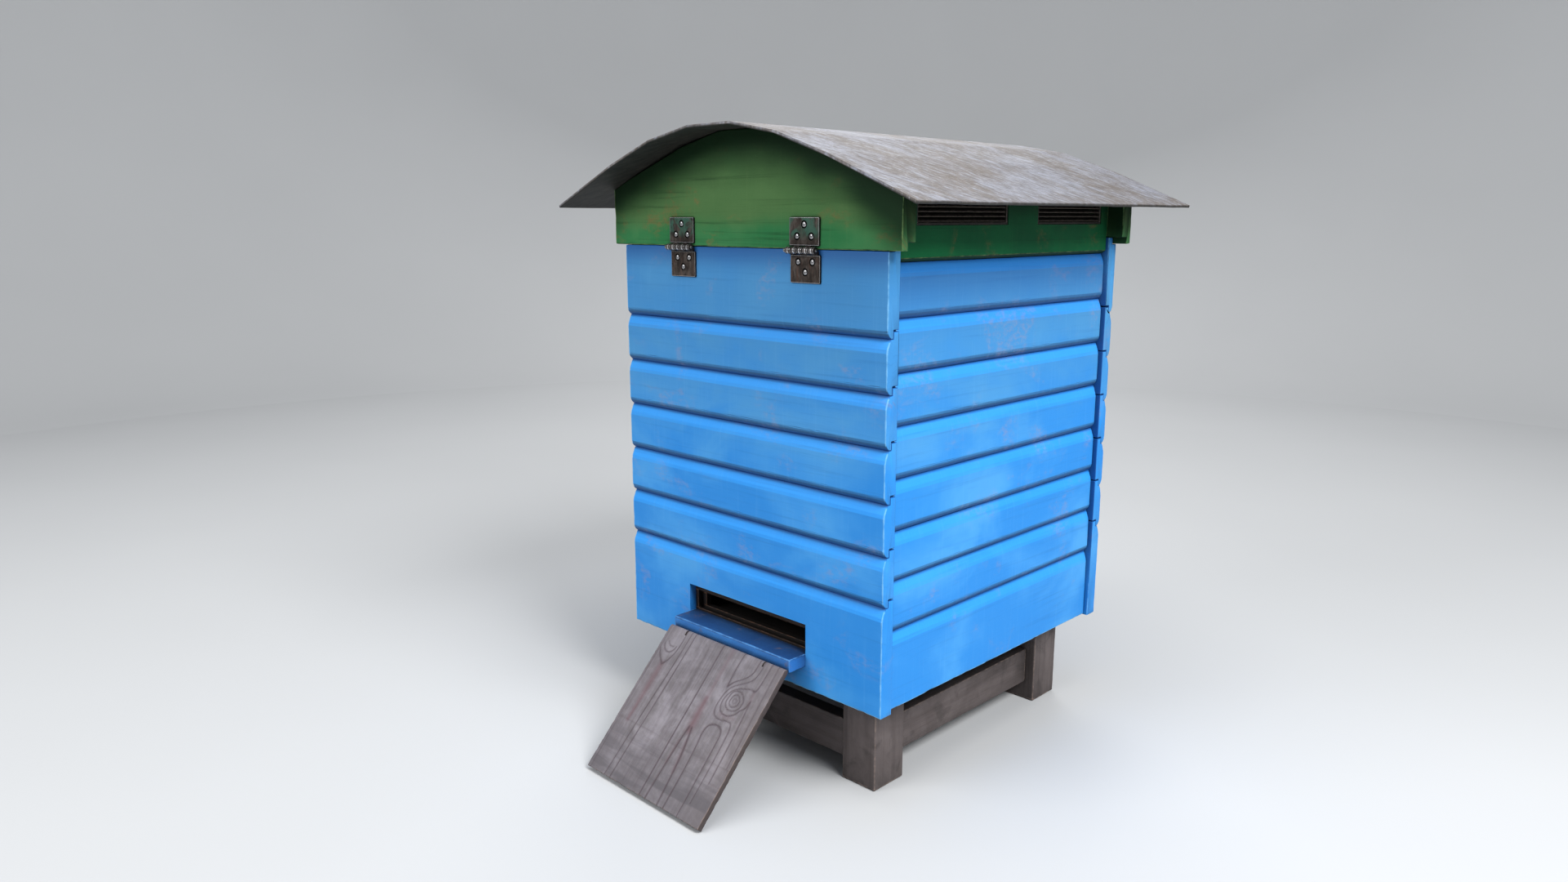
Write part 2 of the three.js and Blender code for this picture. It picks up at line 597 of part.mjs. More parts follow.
for (const [side, sign] of SIDES) {
  const centreX = sign * HINGE_X;
  for (const [leaf, spec] of Object.entries(LEAVES)) {
    add(`hinge_${side}_${leaf}_leaf`, hingeLeaf(centreX, spec), hingeMetal());
  }
  add(`hinge_${side}_pin`, hingePin(centreX), hingeMetal());
}

hive.updateMatrixWorld(true);
const model = new THREE.Group();
model.add(hive);
export default model;
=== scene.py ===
"""A painted beehive on a stand, with a landing ramp and a hinged roof under a bent sheet.

In the row frame x runs across the hive, the front faces -y and z is up, in metres. Pieces are
worked out in body millimetres: x across, y back from the front face of the front boards,
z up from their lower edge.
"""
import math
from collections import namedtuple
import bmesh
import bpy
import numpy as np
from mathutils import Matrix, Vector
from mathutils import noise as mn


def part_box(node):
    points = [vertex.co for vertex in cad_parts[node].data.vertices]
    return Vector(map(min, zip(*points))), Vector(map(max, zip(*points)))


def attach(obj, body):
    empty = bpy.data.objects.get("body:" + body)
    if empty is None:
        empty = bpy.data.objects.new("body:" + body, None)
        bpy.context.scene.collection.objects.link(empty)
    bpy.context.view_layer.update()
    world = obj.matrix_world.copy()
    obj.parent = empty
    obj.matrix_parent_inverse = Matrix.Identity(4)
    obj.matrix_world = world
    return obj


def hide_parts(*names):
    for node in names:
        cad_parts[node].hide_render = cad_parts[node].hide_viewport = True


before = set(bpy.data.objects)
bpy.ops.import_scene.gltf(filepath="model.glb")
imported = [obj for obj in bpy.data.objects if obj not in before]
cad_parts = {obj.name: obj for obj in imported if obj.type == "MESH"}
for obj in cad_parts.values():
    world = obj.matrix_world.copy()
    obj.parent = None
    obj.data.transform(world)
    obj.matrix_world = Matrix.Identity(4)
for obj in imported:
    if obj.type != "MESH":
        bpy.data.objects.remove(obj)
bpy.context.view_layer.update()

# ------------------------------------------------------------------ places, from the frame
MM = 0.001
_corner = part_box("front_board_7")[0]
FRONT, BASE = _corner.y, _corner.z      # front face and lower edge of the body, metres
Box = namedtuple("Box", "x0 x1 y0 y1 z0 z1")


def to_metres(x, y, z):
    """Body millimetres to metres in the row frame."""
    return (x * MM, y * MM + FRONT, z * MM + BASE)


def to_body(point):
    """Metres in the row frame to body millimetres."""
    return (point.x / MM, (point.y - FRONT) / MM, (point.z - BASE) / MM)


def node_box(node):
    """A node's box in body millimetres."""
    low, high = map(to_body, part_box(node))
    return Box(low[0], high[0], low[1], high[1], low[2], high[2])


def node_outline(node):
    """The (x, z) of every vertex of a node, in body millimetres."""
    points = [to_body(vertex.co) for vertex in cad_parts[node].data.vertices]
    return [(x, z) for x, _, z in points]


HALF = node_box("front_board_7").x1     # half the length of a front board
DEPTH = node_box("rear_board_7").y1
BOARD = node_box("front_board_7").y1    # board thickness


def unit(value):
    return max(0.0, min(1.0, value))


def spaced(start, end, step):
    """Even stations from start to end, about step apart."""
    return list(np.linspace(start, end, max(2, int(round((end - start) / step))) + 1))


def mirrored(side, near, far):
    """The lower and upper end of a span on one side (-1 or 1) of the middle."""
    return sorted((side * near, side * far))


# ------------------------------------------------------------------ node graphs
def srgb(*channels):
    """8-bit sRGB to linear colour."""
    return tuple((c / 255 / 12.92) if c / 255 <= 0.04045 else ((c / 255 + 0.055) / 1.055) ** 2.4
                 for c in channels)


class Field:
    """A shader value that takes part in sums and products."""

    def __init__(self, graph, socket):
        self.graph = graph
        self.socket = socket

    def __add__(self, other):
        return self.graph.math("ADD", self, other)

    def __radd__(self, other):
        return self.graph.math("ADD", other, self)

    def __sub__(self, other):
        return self.graph.math("SUBTRACT", self, other)

    def __rsub__(self, other):
        return self.graph.math("SUBTRACT", other, self)

    def __mul__(self, other):
        return self.graph.math("MULTIPLY", self, other)

    def step(self, start, end):
        """Smooth 0..1 as the value goes from start to end."""
        return self.graph.field("MapRange", {0: self, 1: start, 2: end},
                                interpolation_type="SMOOTHSTEP", clamp=True)


class Graph:
    """A material under construction; color is the surface colour built up so far."""

    def __init__(self, name, color):
        self.material = bpy.data.materials.new(name)
        self.material.use_nodes = True
        self.tree = self.material.node_tree
        self.tree.nodes.clear()
        self.output = self.node("OutputMaterial")
        self.surface = self.node("BsdfPrincipled")
        self.put(self.output.inputs[0], self.surface.outputs[0])
        self.color = color

    def put(self, socket, value):
        if isinstance(value, Field):
            value = value.socket
        if isinstance(value, bpy.types.NodeSocket):
            self.tree.links.new(value, socket)
        elif isinstance(value, tuple):
            alpha = (1.0,) if len(value) == 3 and socket.type == "RGBA" else ()
            socket.default_value = value + alpha
        else:
            socket.default_value = value

    def node(self, kind, inputs=None, **settings):
        node = self.tree.nodes.new("ShaderNode" + kind)
        for key, value in settings.items():
            setattr(node, key, value)
        for key, value in (inputs or {}).items():
            self.put(node.inputs[key], value)
        return node

    def field(self, kind, inputs=None, output=0, **settings):
        return Field(self, self.node(kind, inputs, **settings).outputs[output])

    def math(self, operation, first, second=0.0, clamp=False):
        return self.field("Math", {0: first, 1: second}, operation=operation, use_clamp=clamp)

    def mix(self, mask, under, over):
        return self.field("Mix", {0: mask, 6: under, 7: over}, output=2,
                          data_type="RGBA", clamp_factor=True)

    def coat(self, color, mask, amount=None):
        """Lays a colour over the surface where mask is 1."""
        self.color = self.mix(mask if amount is None else mask * amount, self.color, color)

    def layers(self, *rows):
        """Coats in turn: (colour, field, field value where it starts, where it is full, amount)."""
        for color, value, start, full, *amount in rows:
            self.coat(color, value.step(start, full), *amount)

    def noise(self, vector, scale=1.0, stretch=None, detail=3.0, rough=0.55, warp=0.0):
        """Noise over vector; stretch multiplies its axes, so a larger number is finer."""
        if stretch is not None:
            vector = self.field("VectorMath", {0: vector, 1: stretch}, operation="MULTIPLY")
        return self.field("TexNoise", {"Vector": vector, "Scale": scale, "Detail": detail,
                                       "Roughness": rough, "Distortion": warp})

    def attribute(self, name, output="Fac"):
        return self.field("Attribute", output=output, attribute_name=name)

    def coordinate(self, output="Object"):
        return self.field("TexCoord", output=output)

    def xyz(self, vector):
        node = self.node("SeparateXYZ", {0: vector})
        return [Field(self, socket) for socket in node.outputs]

    def shelter(self, distance, open_at, deep_at, samples=5):
        """0 in the open, 1 deep in a corner or under something. The materials lay painted shade
        with it.
        """
        exposure = self.field("AmbientOcclusion", {"Distance": distance}, output="AO",
                              samples=samples)
        return exposure.step(open_at, deep_at)

    def rubbed(self, place, wear, scale, spread, start, full, weight=0.8, rough=0.65):
        """A ragged mask along worn edges; spread is how far noise moves its border."""
        ragged = self.noise(place, scale=scale, detail=5, rough=rough)
        return (wear * weight + (ragged - 0.5) * spread).step(start, full)

    def finish(self, rough, metal=0.0, specular=0.5, bump=None, strength=0.0, distance=0.0):
        """Sets the surface; strength and distance scale the bump."""
        inputs = {"Base Color": self.color, "Roughness": rough, "Metallic": metal,
                  "Specular IOR Level": specular}
        if bump is not None:
            inputs["Normal"] = self.field("Bump", {"Strength": strength, "Distance": distance,
                                                   "Height": bump})
        for key, value in inputs.items():
            self.put(self.surface.inputs[key], value)
        return self.material


def painted_wood(name, light, mid, deep, edge, scuff, scuff_amount, patch_scale, grain_amount,
                 grime_and_shade, painted_shade_at, up=None, down=None, height_tint=None, height_tint_z=(0.30, 0.68),
                 cavity_shade_amount=0.70, wear_at=(0.50, 0.95), specular=0.42):
    """Old paint on planed boards: grain and brush lines along gc.x, pale rubbed edges, up and
    down colours on sloping faces (on the walls a painted highlight on faces turned up and painted
    shade on faces turned down), painted shade in corners, under the eaves and where cav is set,
    scuffs, and a colour laid on by height (height_tint, over height_tint_z).
    painted_shade_at is (reach, exposure where it starts, exposure where it is full, amount)."""
    graph = Graph(name, mid)
    along = graph.attribute("gc", "Vector")
    place = graph.coordinate()
    wear, cavity = graph.attribute("wear"), graph.attribute("cav")
    facing = graph.xyz(graph.coordinate("Normal"))[2]
    patches = graph.noise(place, scale=patch_scale, stretch=(1.0, 1.0, 1.5), detail=4, warp=0.4)
    grain = graph.noise(along, stretch=(5.0, 190.0, 1.0), detail=5, rough=0.6, warp=0.3)
    fine = graph.noise(along, stretch=(28.0, 900.0, 1.0), detail=3, rough=0.6)
    brush = graph.noise(along, stretch=(260.0, 9.0, 1.0), detail=4, rough=0.6, warp=0.2)
    speck = graph.noise(place, scale=420.0, detail=3, rough=0.7)
    graph.layers((light, patches, 0.40, 0.68))
    if height_tint is not None:
        height = graph.xyz(place)[2]
        tint_mask = height.step(*height_tint_z) + (patches - 0.5) * 1.4
        graph.layers((height_tint, tint_mask, 0.0, 1.0, 0.75))
    # colours by facing: on the walls, a painted highlight on faces turned up and painted shade on
    # faces turned down
    if up is not None:
        graph.layers((up, facing, 0.02, 0.30, 0.78))
    if down is not None:
        graph.layers((down, facing, -0.03, -0.36, 0.88))
    graph.layers((deep, grain, 0.52, 0.80, grain_amount),
                 (deep, fine, 0.58, 0.80, 0.14),
                 (edge, brush, 0.50, 0.78, 0.07))
    # scuffs: islands of small broken marks
    islands = graph.noise(place, scale=patch_scale * 2.3, stretch=(1.0, 1.0, 1.3), warp=0.8)
    broken = graph.noise(along, stretch=(90.0, 150.0, 1.0), detail=6, rough=0.72)
    graph.coat(scuff, islands.step(0.55, 0.68) * broken.step(0.42, 0.66), scuff_amount)
    # painted shade in the grooves, from cav, and in corners and under the eaves, from ambient
    # occlusion
    reach, open_at, deep_at, grime_and_shade_amount = painted_shade_at
    ragged = graph.noise(place, scale=30.0, detail=4, rough=0.6)
    shade_mask = graph.shelter(reach, open_at, deep_at) + (ragged - 0.5) * 0.5
    graph.layers((deep, cavity, 0.05, 1.0, cavity_shade_amount),
                 (grime_and_shade, shade_mask, 0.05, 1.0, grime_and_shade_amount))
    worn = graph.rubbed(place, wear, scale=95.0, spread=1.0, start=wear_at[0], full=wear_at[1],
                        weight=0.86)
    graph.coat(edge, worn, amount=0.78)
    return graph.finish(rough=0.40 + (patches + speck * 0.8) * 0.18, specular=specular,
                        bump=grain * 0.7 + (fine * 0.30 + (speck * 0.16 + worn * -0.3)),
                        strength=0.30, distance=0.0006)


def bare_wood(name, light, dark, line, grime_and_shade, edge, lines, rough=0.6, grime_and_shade_amount=0.5,
              shelter_amount=0.7, ring_amount=0.45):
    """Unpainted wood: soft early wood and darker lines along gc.x, blotches of dirt, painted shade
    in corners and under things (shelter_amount), paler rubbed edges. lines sets how close the rings
    are."""
    graph = Graph(name, dark)
    along = graph.attribute("gc", "Vector")
    place = graph.coordinate()
    wear = graph.attribute("wear")
    bend = graph.noise(along, stretch=(3.0, 14.0, 1.0), detail=3, rough=0.5)
    ring = graph.math("SINE", graph.xyz(along)[1] * (lines * 2.2) + bend * 13.0)
    grain = graph.noise(along, stretch=(7.0, 320.0, 1.0), detail=6, rough=0.62, warp=0.2)
    pores = graph.noise(along, stretch=(45.0, 1500.0, 1.0), detail=3, rough=0.6)
    patches = graph.noise(place, scale=11.0, detail=4, rough=0.6, warp=0.5)
    blotches = graph.noise(place, scale=24.0, detail=5, rough=0.6, warp=0.8)
    graph.layers((light, patches, 0.30, 0.72),
                 (line, ring, 0.25, 1.0, ring_amount),
                 (line, grain, 0.50, 0.78, 0.5),
                 (grime_and_shade, pores, 0.55, 0.80, 0.35),
                 (grime_and_shade, blotches, 0.50, 0.72, grime_and_shade_amount))
    # painted shade in corners and under things
    graph.coat(tuple(c * 0.22 for c in grime_and_shade),
               graph.shelter(distance=0.12, open_at=0.85, deep_at=0.2), shelter_amount)
    worn = graph.rubbed(place, wear, scale=130.0, spread=1.6, start=0.50, full=0.95)
    graph.coat(edge, worn, amount=0.65)
    return graph.finish(rough=rough + grain * 0.2, specular=0.35,
                        bump=grain * 0.9 + (pores * 0.5 + ring * -0.12),
                        strength=0.5, distance=0.0009)


# In these paints grime_and_shade is painted shade. BLUE's up and down are a painted highlight and
# painted shade, and the greens' down is painted shade.
BLUE = painted_wood(
    "blue_paint", light=srgb(72, 158, 226), mid=srgb(36, 134, 214), deep=srgb(6, 62, 132),
    edge=srgb(120, 184, 230), scuff=srgb(150, 138, 154), scuff_amount=0.30, patch_scale=5.0,
    up=srgb(44, 152, 240), down=srgb(26, 72, 110), height_tint=srgb(68, 134, 182),
    grime_and_shade=srgb(6, 58, 120), painted_shade_at=(0.06, 0.78, 0.22, 0.62), grain_amount=0.20,
    cavity_shade_amount=0.78, wear_at=(0.42, 0.90), specular=0.30)
SHELF = painted_wood(
    "shelf_paint", light=srgb(44, 122, 196), mid=srgb(36, 106, 178), deep=srgb(16, 48, 96),
    edge=srgb(70, 132, 192), scuff=srgb(96, 92, 104), scuff_amount=0.7, patch_scale=16.0,
    up=srgb(16, 42, 84), grime_and_shade=srgb(14, 22, 36), painted_shade_at=(0.06, 0.90, 0.25, 0.85),
    grain_amount=0.5)
GREEN = painted_wood(
    "green_paint", light=srgb(70, 130, 80), mid=srgb(42, 114, 66), deep=srgb(8, 42, 18),
    edge=srgb(112, 142, 90), scuff=srgb(138, 90, 56), scuff_amount=0.36, patch_scale=6.0,
    down=srgb(10, 56, 32), height_tint=srgb(84, 114, 66), height_tint_z=(0.684, 0.728),
    grime_and_shade=srgb(9, 26, 9), painted_shade_at=(0.10, 0.92, 0.34, 0.80), grain_amount=0.62,
    cavity_shade_amount=0.97, specular=0.12)
# a darker copy of the green paint for the roof's side boards: painted shade under the sheet
GREEN_SHADED_SIDE = painted_wood(
    "green_paint_shaded_side", light=srgb(12, 98, 56), mid=srgb(4, 82, 48), deep=srgb(2, 24, 13),
    edge=srgb(96, 122, 76), scuff=srgb(130, 86, 56), scuff_amount=0.34, patch_scale=6.0,
    down=srgb(6, 42, 24), grime_and_shade=srgb(5, 18, 9), painted_shade_at=(0.09, 0.90, 0.30, 0.70),
    grain_amount=0.35, cavity_shade_amount=0.95, specular=0.14)
STAND = bare_wood(
    "stand_wood", light=srgb(104, 95, 94), dark=srgb(80, 72, 71), line=srgb(60, 52, 50),
    grime_and_shade=srgb(46, 41, 40), edge=srgb(126, 110, 102), lines=70.0, rough=0.66, ring_amount=0.26)
PINE = bare_wood(
    "old_pine", light=srgb(196, 160, 112), dark=srgb(168, 128, 84), line=srgb(132, 92, 54),
    grime_and_shade=srgb(92, 66, 44), edge=srgb(206, 176, 132), lines=110.0, grime_and_shade_amount=0.35)
DARK = bare_wood(
    "entrance_wood", light=srgb(54, 38, 30), dark=srgb(38, 27, 21), line=srgb(26, 18, 14),
    grime_and_shade=srgb(16, 12, 10), edge=srgb(112, 78, 56), lines=160.0, shelter_amount=0.95)
# the floor's pine made near-black: painted shade inside the hive
FLOOR_IN_SHADE = bare_wood(
    "hive_floor_in_shade", light=srgb(44, 33, 25), dark=srgb(32, 24, 18), line=srgb(32, 22, 16),
    grime_and_shade=srgb(18, 13, 10), edge=srgb(84, 64, 46), lines=110.0, shelter_amount=0.9)


def roof_metal():
    """Weathered sheet with slanting marks; cav is 1 on its underside, which is painted dark with
    streaks as painted shade.
    """
    graph = Graph("weathered_sheet", srgb(100, 93, 88))
    place = graph.coordinate()
    wear, under = graph.attribute("wear"), graph.attribute("cav")
    x, y, _ = graph.xyz(place)
    wobble = graph.noise(place, scale=7.0, detail=3, rough=0.5)
    # the marks run down the slope, turned a little towards the ridge
    turned = graph.field("CombineXYZ", {0: (x * 0.83 + y * 0.55) + wobble * 0.05,
                                        1: (y * 0.83 - x * 0.55) + wobble * 0.035})
    streak = graph.noise(turned, stretch=(44.0, 150.0, 1.0), detail=8, rough=0.76, warp=0.35)
    scratch = graph.noise(turned, stretch=(110.0, 400.0, 1.0), detail=6, rough=0.72, warp=0.2)
    patch = graph.noise(turned, stretch=(6.0, 8.0, 1.0), detail=6, rough=0.62, warp=0.7)
    blotch = graph.noise(turned, stretch=(12.0, 20.0, 1.0), detail=8, rough=0.72, warp=0.8)
    graph.layers((srgb(120, 121, 129), patch, 0.40, 0.60),
                 (srgb(146, 153, 168), streak, 0.51, 0.60, 0.55),
                 (srgb(92, 83, 74), blotch, 0.53, 0.60, 0.50),
                 (srgb(146, 150, 160), blotch, 0.45, 0.36, 0.45),
                 (srgb(72, 68, 68), streak, 0.49, 0.41, 0.60),
                 (srgb(66, 64, 70), scratch, 0.53, 0.61, 0.55),
                 (srgb(172, 175, 184), scratch, 0.46, 0.37, 0.42))
    worn = graph.rubbed(place, wear, scale=120.0, spread=0.8, start=0.40, full=0.8)
    # the underside: dark streaky colours, painted shade
    below = graph.mix(streak.step(0.35, 0.68), srgb(20, 21, 17), srgb(50, 48, 42))
    below = graph.mix(patch.step(0.45, 0.65) * 0.5, below, srgb(28, 27, 20))
    graph.coat(below, under)
    graph.coat(srgb(66, 60, 57), worn, amount=0.80)
    return graph.finish(rough=0.5 + blotch * 0.25, metal=0.12, specular=0.4,
                        bump=streak * 0.8 + (scratch * 0.4 + blotch * 0.5),
                        strength=0.35, distance=0.0008)


def hinge_metal():
    """Browned steel with painted shade in its countersinks and round the knuckles, dark round its
    rims and with painted shade at the knuckles' ends, and a painted highlight in a band round each
    knuckle's middle (both set by wear); cav is green paint left on."""
    graph = Graph("hinge_steel", srgb(42, 34, 30))
    place = graph.coordinate()
    wear, residue = graph.attribute("wear"), graph.attribute("cav")
    brown = graph.noise(place, scale=120.0, stretch=(1.0, 1.0, 0.5), detail=5, rough=0.65,
                        warp=0.5)
    speck = graph.noise(place, scale=520.0, detail=4, rough=0.65)
    runs = graph.noise(place, scale=190.0, stretch=(1.0, 1.0, 0.2), detail=4, rough=0.6,
                       warp=0.3)
    flakes = graph.noise(place, scale=70.0, stretch=(1.0, 1.0, 0.6), detail=4, rough=0.6,
                         warp=0.6)
    graph.layers((srgb(76, 67, 61), brown, 0.35, 0.68),
                 (srgb(96, 66, 52), runs, 0.54, 0.70, 0.40),
                 (srgb(44, 40, 40), speck, 0.56, 0.72, 0.35))
    paint = residue.step(0.1, 0.5) * flakes.step(0.38, 0.54)
    graph.coat(srgb(34, 92, 74), paint, amount=0.72)
    # painted shade in the countersinks and round the knuckles
    countersink_shade = graph.shelter(distance=0.0055, open_at=0.95, deep_at=0.50, samples=4)
    graph.coat(srgb(12, 10, 10), countersink_shade, amount=0.95)
    # dark where wear is full: the plates' rims, and the knuckles' ends as painted shade in the gaps
    # between them
    graph.layers((srgb(36, 32, 32), wear, 0.93, 0.99, 0.78))
    # painted highlight: a band round each knuckle's middle, and the pin's head
    painted_glint = wear.step(0.35, 0.6) * wear.step(0.92, 0.8)
    graph.coat(srgb(206, 206, 208), painted_glint, amount=0.85)
    dull = graph.math("MAXIMUM", paint, brown.step(0.45, 0.7))
    metal = graph.math("MAXIMUM", 0.70 - dull * 0.45, painted_glint * 0.95)
    return graph.finish(rough=(0.34 + brown * 0.35) - painted_glint * 0.24, metal=metal,
                        bump=brown + speck * 0.5, strength=0.30, distance=0.0003)


def screw_metal():
    graph = Graph("screw_steel", srgb(168, 168, 170))
    tarnish = graph.noise(graph.coordinate(), scale=700.0, detail=4, rough=0.6)
    graph.layers((srgb(70, 63, 58), tarnish, 0.45, 0.75))
    return graph.finish(rough=0.16 + tarnish * 0.24, metal=0.95,
                        bump=tarnish, strength=0.2, distance=0.0002)


def vent_paint():
    graph = Graph("vent_paint", srgb(32, 30, 28))
    place = graph.coordinate()
    wear = graph.attribute("wear")
    patches = graph.noise(place, scale=60.0, detail=5, rough=0.6, warp=0.4)
    speck = graph.noise(place, scale=480.0, detail=3, rough=0.6)
    graph.layers((srgb(44, 41, 37), patches, 0.35, 0.7))
    worn = graph.rubbed(place, wear, scale=300.0, spread=1.2, start=0.5, full=0.9, rough=0.6)
    graph.coat(srgb(118, 108, 100), worn, amount=0.6)
    return graph.finish(rough=0.42 + speck * 0.2, metal=0.2, specular=0.4,
                        bump=speck + patches, strength=0.25, distance=0.0003)


def comb_wax():
    """Wax with a pattern of cells over y and z."""
    graph = Graph("comb_wax", srgb(196, 146, 62))
    place = graph.coordinate()
    _, y, z = graph.xyz(place)
    comb = graph.field("CombineXYZ", {0: y, 1: z})
    rim = graph.field("TexVoronoi", {"Vector": comb, "Scale": 190.0, "Randomness": 0.18},
                      output="Distance", feature="DISTANCE_TO_EDGE")
    cell = rim.step(0.05, 0.16)
    patches = graph.noise(place, scale=14.0, detail=4, rough=0.6)
    graph.layers((srgb(128, 82, 34), patches, 0.35, 0.7))
    graph.color = graph.mix(cell, srgb(214, 176, 96), graph.color)
    return graph.finish(rough=0.45, specular=0.4, bump=1.0 - cell, strength=0.7,
                        distance=0.0012)


def ramp_wood():
    """Grey weathered softwood: gc is (across, down, stain), cav is how dark a grain line is; its
    side faces get painted shade.
    """
    graph = Graph("ramp_plank", srgb(98, 93, 96))
    along = graph.attribute("gc", "Vector")
    wear, line = graph.attribute("wear"), graph.attribute("cav")
    place = graph.coordinate()
    across, down, stain = graph.xyz(along)
    soft = graph.noise(along, stretch=(240.0, 5.0, 0.0), detail=5, rough=0.6, warp=0.15)
    pores = graph.noise(along, stretch=(1000.0, 30.0, 0.0), detail=3, rough=0.6)
    patches = graph.noise(along, stretch=(15.0, 11.0, 0.0), detail=4, rough=0.6, warp=0.5)
    cross = graph.noise(along, stretch=(5.0, 62.0, 0.0), detail=4, rough=0.6, warp=0.5)
    mottle = graph.noise(along, stretch=(70.0, 90.0, 0.0), detail=5, rough=0.65, warp=0.4)
    graph.layers((srgb(119, 113, 119), soft, 0.30, 0.72),
                 (srgb(150, 145, 152), patches, 0.50, 0.32, 0.62),
                 (srgb(88, 83, 86), patches, 0.53, 0.72, 0.55),
                 (srgb(140, 134, 138), mottle, 0.46, 0.70, 0.30),
                 (srgb(92, 84, 84), mottle, 0.50, 0.32, 0.25),
                 (srgb(104, 94, 92), across, 0.16, 0.222, 0.25))
    low = down.step(0.125, 0.185)
    graph.coat(srgb(78, 74, 78), cross.step(0.42, 0.62) * (0.18 + low), amount=0.62)
    graph.coat(srgb(86, 82, 87), low, amount=0.38)
    # painted shade on the plank's side faces
    sideways = graph.xyz(graph.coordinate("Normal"))[0]
    flank = graph.math("ABSOLUTE", sideways).step(0.5, 0.9)
    graph.coat(srgb(58, 47, 43), flank, amount=0.85)
    graph.coat(srgb(98, 72, 78), stain, amount=0.72)
    graph.layers((srgb(84, 76, 82), pores, 0.56, 0.80, 0.26))
    dark = line * (0.72 + mottle * 0.5)
    graph.coat(srgb(62, 48, 54), graph.math("MULTIPLY", dark, 1.0, clamp=True))
    worn = graph.rubbed(place, wear, scale=110.0, spread=1.5, start=0.48, full=0.95)
    graph.coat(srgb(136, 112, 98), worn * (1.0 - flank * 0.9), amount=0.55)
    graph.layers((srgb(84, 80, 86), down, 0.10, 0.02, 0.16))
    return graph.finish(rough=0.54 + soft * 0.22, specular=0.38,
                        bump=line * -1.0 + (soft * 0.5 + (pores * -0.35 + mottle * 0.3)),
                        strength=0.42, distance=0.0008)


ROOF = roof_metal()
HINGE = hinge_metal()
SCREW = screw_metal()
VENT = vent_paint()
WAX = comb_wax()
RAMP = ramp_wood()

# ------------------------------------------------------------------ outlines
# Corners are (depth, height, radius, wear, cavity); outline points are
# (depth, height, wear, cavity, room), room being how far a point can move inwards before its
# arc folds over.
FREE = 99.0


def round_corners(corners, segments=4):
    """Closed polygon of corners to outline points with the corners rounded."""
    outline = []
    count = len(corners)
    winding = sum(corners[i - 1][0] * corners[i][1] - corners[i][0] * corners[i - 1][1]
                  for i in range(count))
    for i, (depth, height, radius, wear, cavity) in enumerate(corners):
        point = np.array([depth, height])
        back = np.array(corners[i - 1][:2]) - point
        ahead = np.array(corners[(i + 1) % count][:2]) - point
        back_length, ahead_length = np.linalg.norm(back), np.linalg.norm(ahead)
        back, ahead = back / back_length, ahead / ahead_length
        angle = math.acos(max(-1, min(1, float(back @ ahead))))
        if radius <= 0 or angle > math.pi - 0.02:
            outline.append((depth, height, wear, cavity, FREE))
            continue
        trim = min(radius / math.tan(angle / 2), back_length * 0.49, ahead_length * 0.49)
        fitted = trim * math.tan(angle / 2)
        middle = (back + ahead) / np.linalg.norm(back + ahead)
        centre = point + middle * (fitted / math.sin(angle / 2))
        start = math.atan2(*(point + back * trim - centre)[::-1])
        end = math.atan2(*(point + ahead * trim - centre)[::-1])
        sweep = (end - start + math.pi) % (2 * math.pi) - math.pi
        convex = (ahead[0] * back[1] - ahead[1] * back[0]) * winding > 0
        for k in range(segments + 1):
            turn = start + sweep * k / segments
            outline.append((centre[0] + fitted * math.cos(turn),
                            centre[1] + fitted * math.sin(turn),
                            wear * (0.55 + 0.45 * math.sin(math.pi * k / segments)), cavity,
                            0.82 * fitted if convex else FREE))
    return outline


def refine(outline, step):
    """Adds points on long flats, with thin bands at their ends so that wear fades quickly."""
    refined = []
    for i, start in enumerate(outline):
        end = outline[(i + 1) % len(outline)]
        refined.append(start)
        length = math.hypot(end[0] - start[0], end[1] - start[1])
        if length <= 2.0:
            continue
        inner = int(length // step)
        parts = {0.9 / length, 1 - 0.9 / length} | {j / (inner + 1) for j in range(1, inner + 1)}
        for part in sorted(parts):
            if not 0.8 / length <= part <= 1 - 0.8 / length:
                continue
            fade = max(0.0, 1 - min(part, 1 - part) * length / 1.6)
            nearest = start if part < 0.5 else end
            refined.append((start[0] + (end[0] - start[0]) * part,
                            start[1] + (end[1] - start[1]) * part, nearest[2] * fade,
                            start[3] * (1 - part) + end[3] * part, FREE))
    return refined


def outward_normals(points):
    """Outward normals of a closed 2D polygon given as an (n, 2) array."""
    following = np.roll(points, -1, 0)
    area = 0.5 * np.sum(points[:, 0] * following[:, 1] - following[:, 0] * points[:, 1])
    edges = following - points
    normals = np.stack([edges[:, 1], -edges[:, 0]], 1)
    normals /= np.maximum(np.linalg.norm(normals, axis=1, keepdims=True), 1e-9)
    if area < 0:
        normals = -normals
    total = normals + np.roll(normals, 1, 0)
    return total / np.maximum(np.linalg.norm(total, axis=1, keepdims=True), 0.35)


# ------------------------------------------------------------------ meshes
def tube_faces(rings, count):
    """Faces of a tube of rings of count points each, its two caps last."""
    faces = []
    for i in range(rings - 1):
        for j in range(count):
            k = (j + 1) % count
            faces.append((i * count + j, i * count + k, (i + 1) * count + k, (i + 1) * count + j))
    faces.append(tuple(reversed(range(count))))
    faces.append(tuple((rings - 1) * count + j for j in range(count)))
    return faces


def prism_faces(count):
    """Faces of a prism, its two caps first."""
    faces = tube_faces(2, count)
    return faces[-2:] + faces[:-2]


def new_object(name, verts, faces):
    mesh = bpy.data.meshes.new(name)
    mesh.from_pydata(verts, [], faces)
    mesh.update()
    made = bpy.data.objects.new(name, mesh)
    bpy.context.scene.collection.objects.link(made)
    return made


def face_outwards(mesh):
    work = bmesh.new()
    work.from_mesh(mesh)
    bmesh.ops.recalc_face_normals(work, faces=work.faces)
    work.to_mesh(mesh)
    work.free()


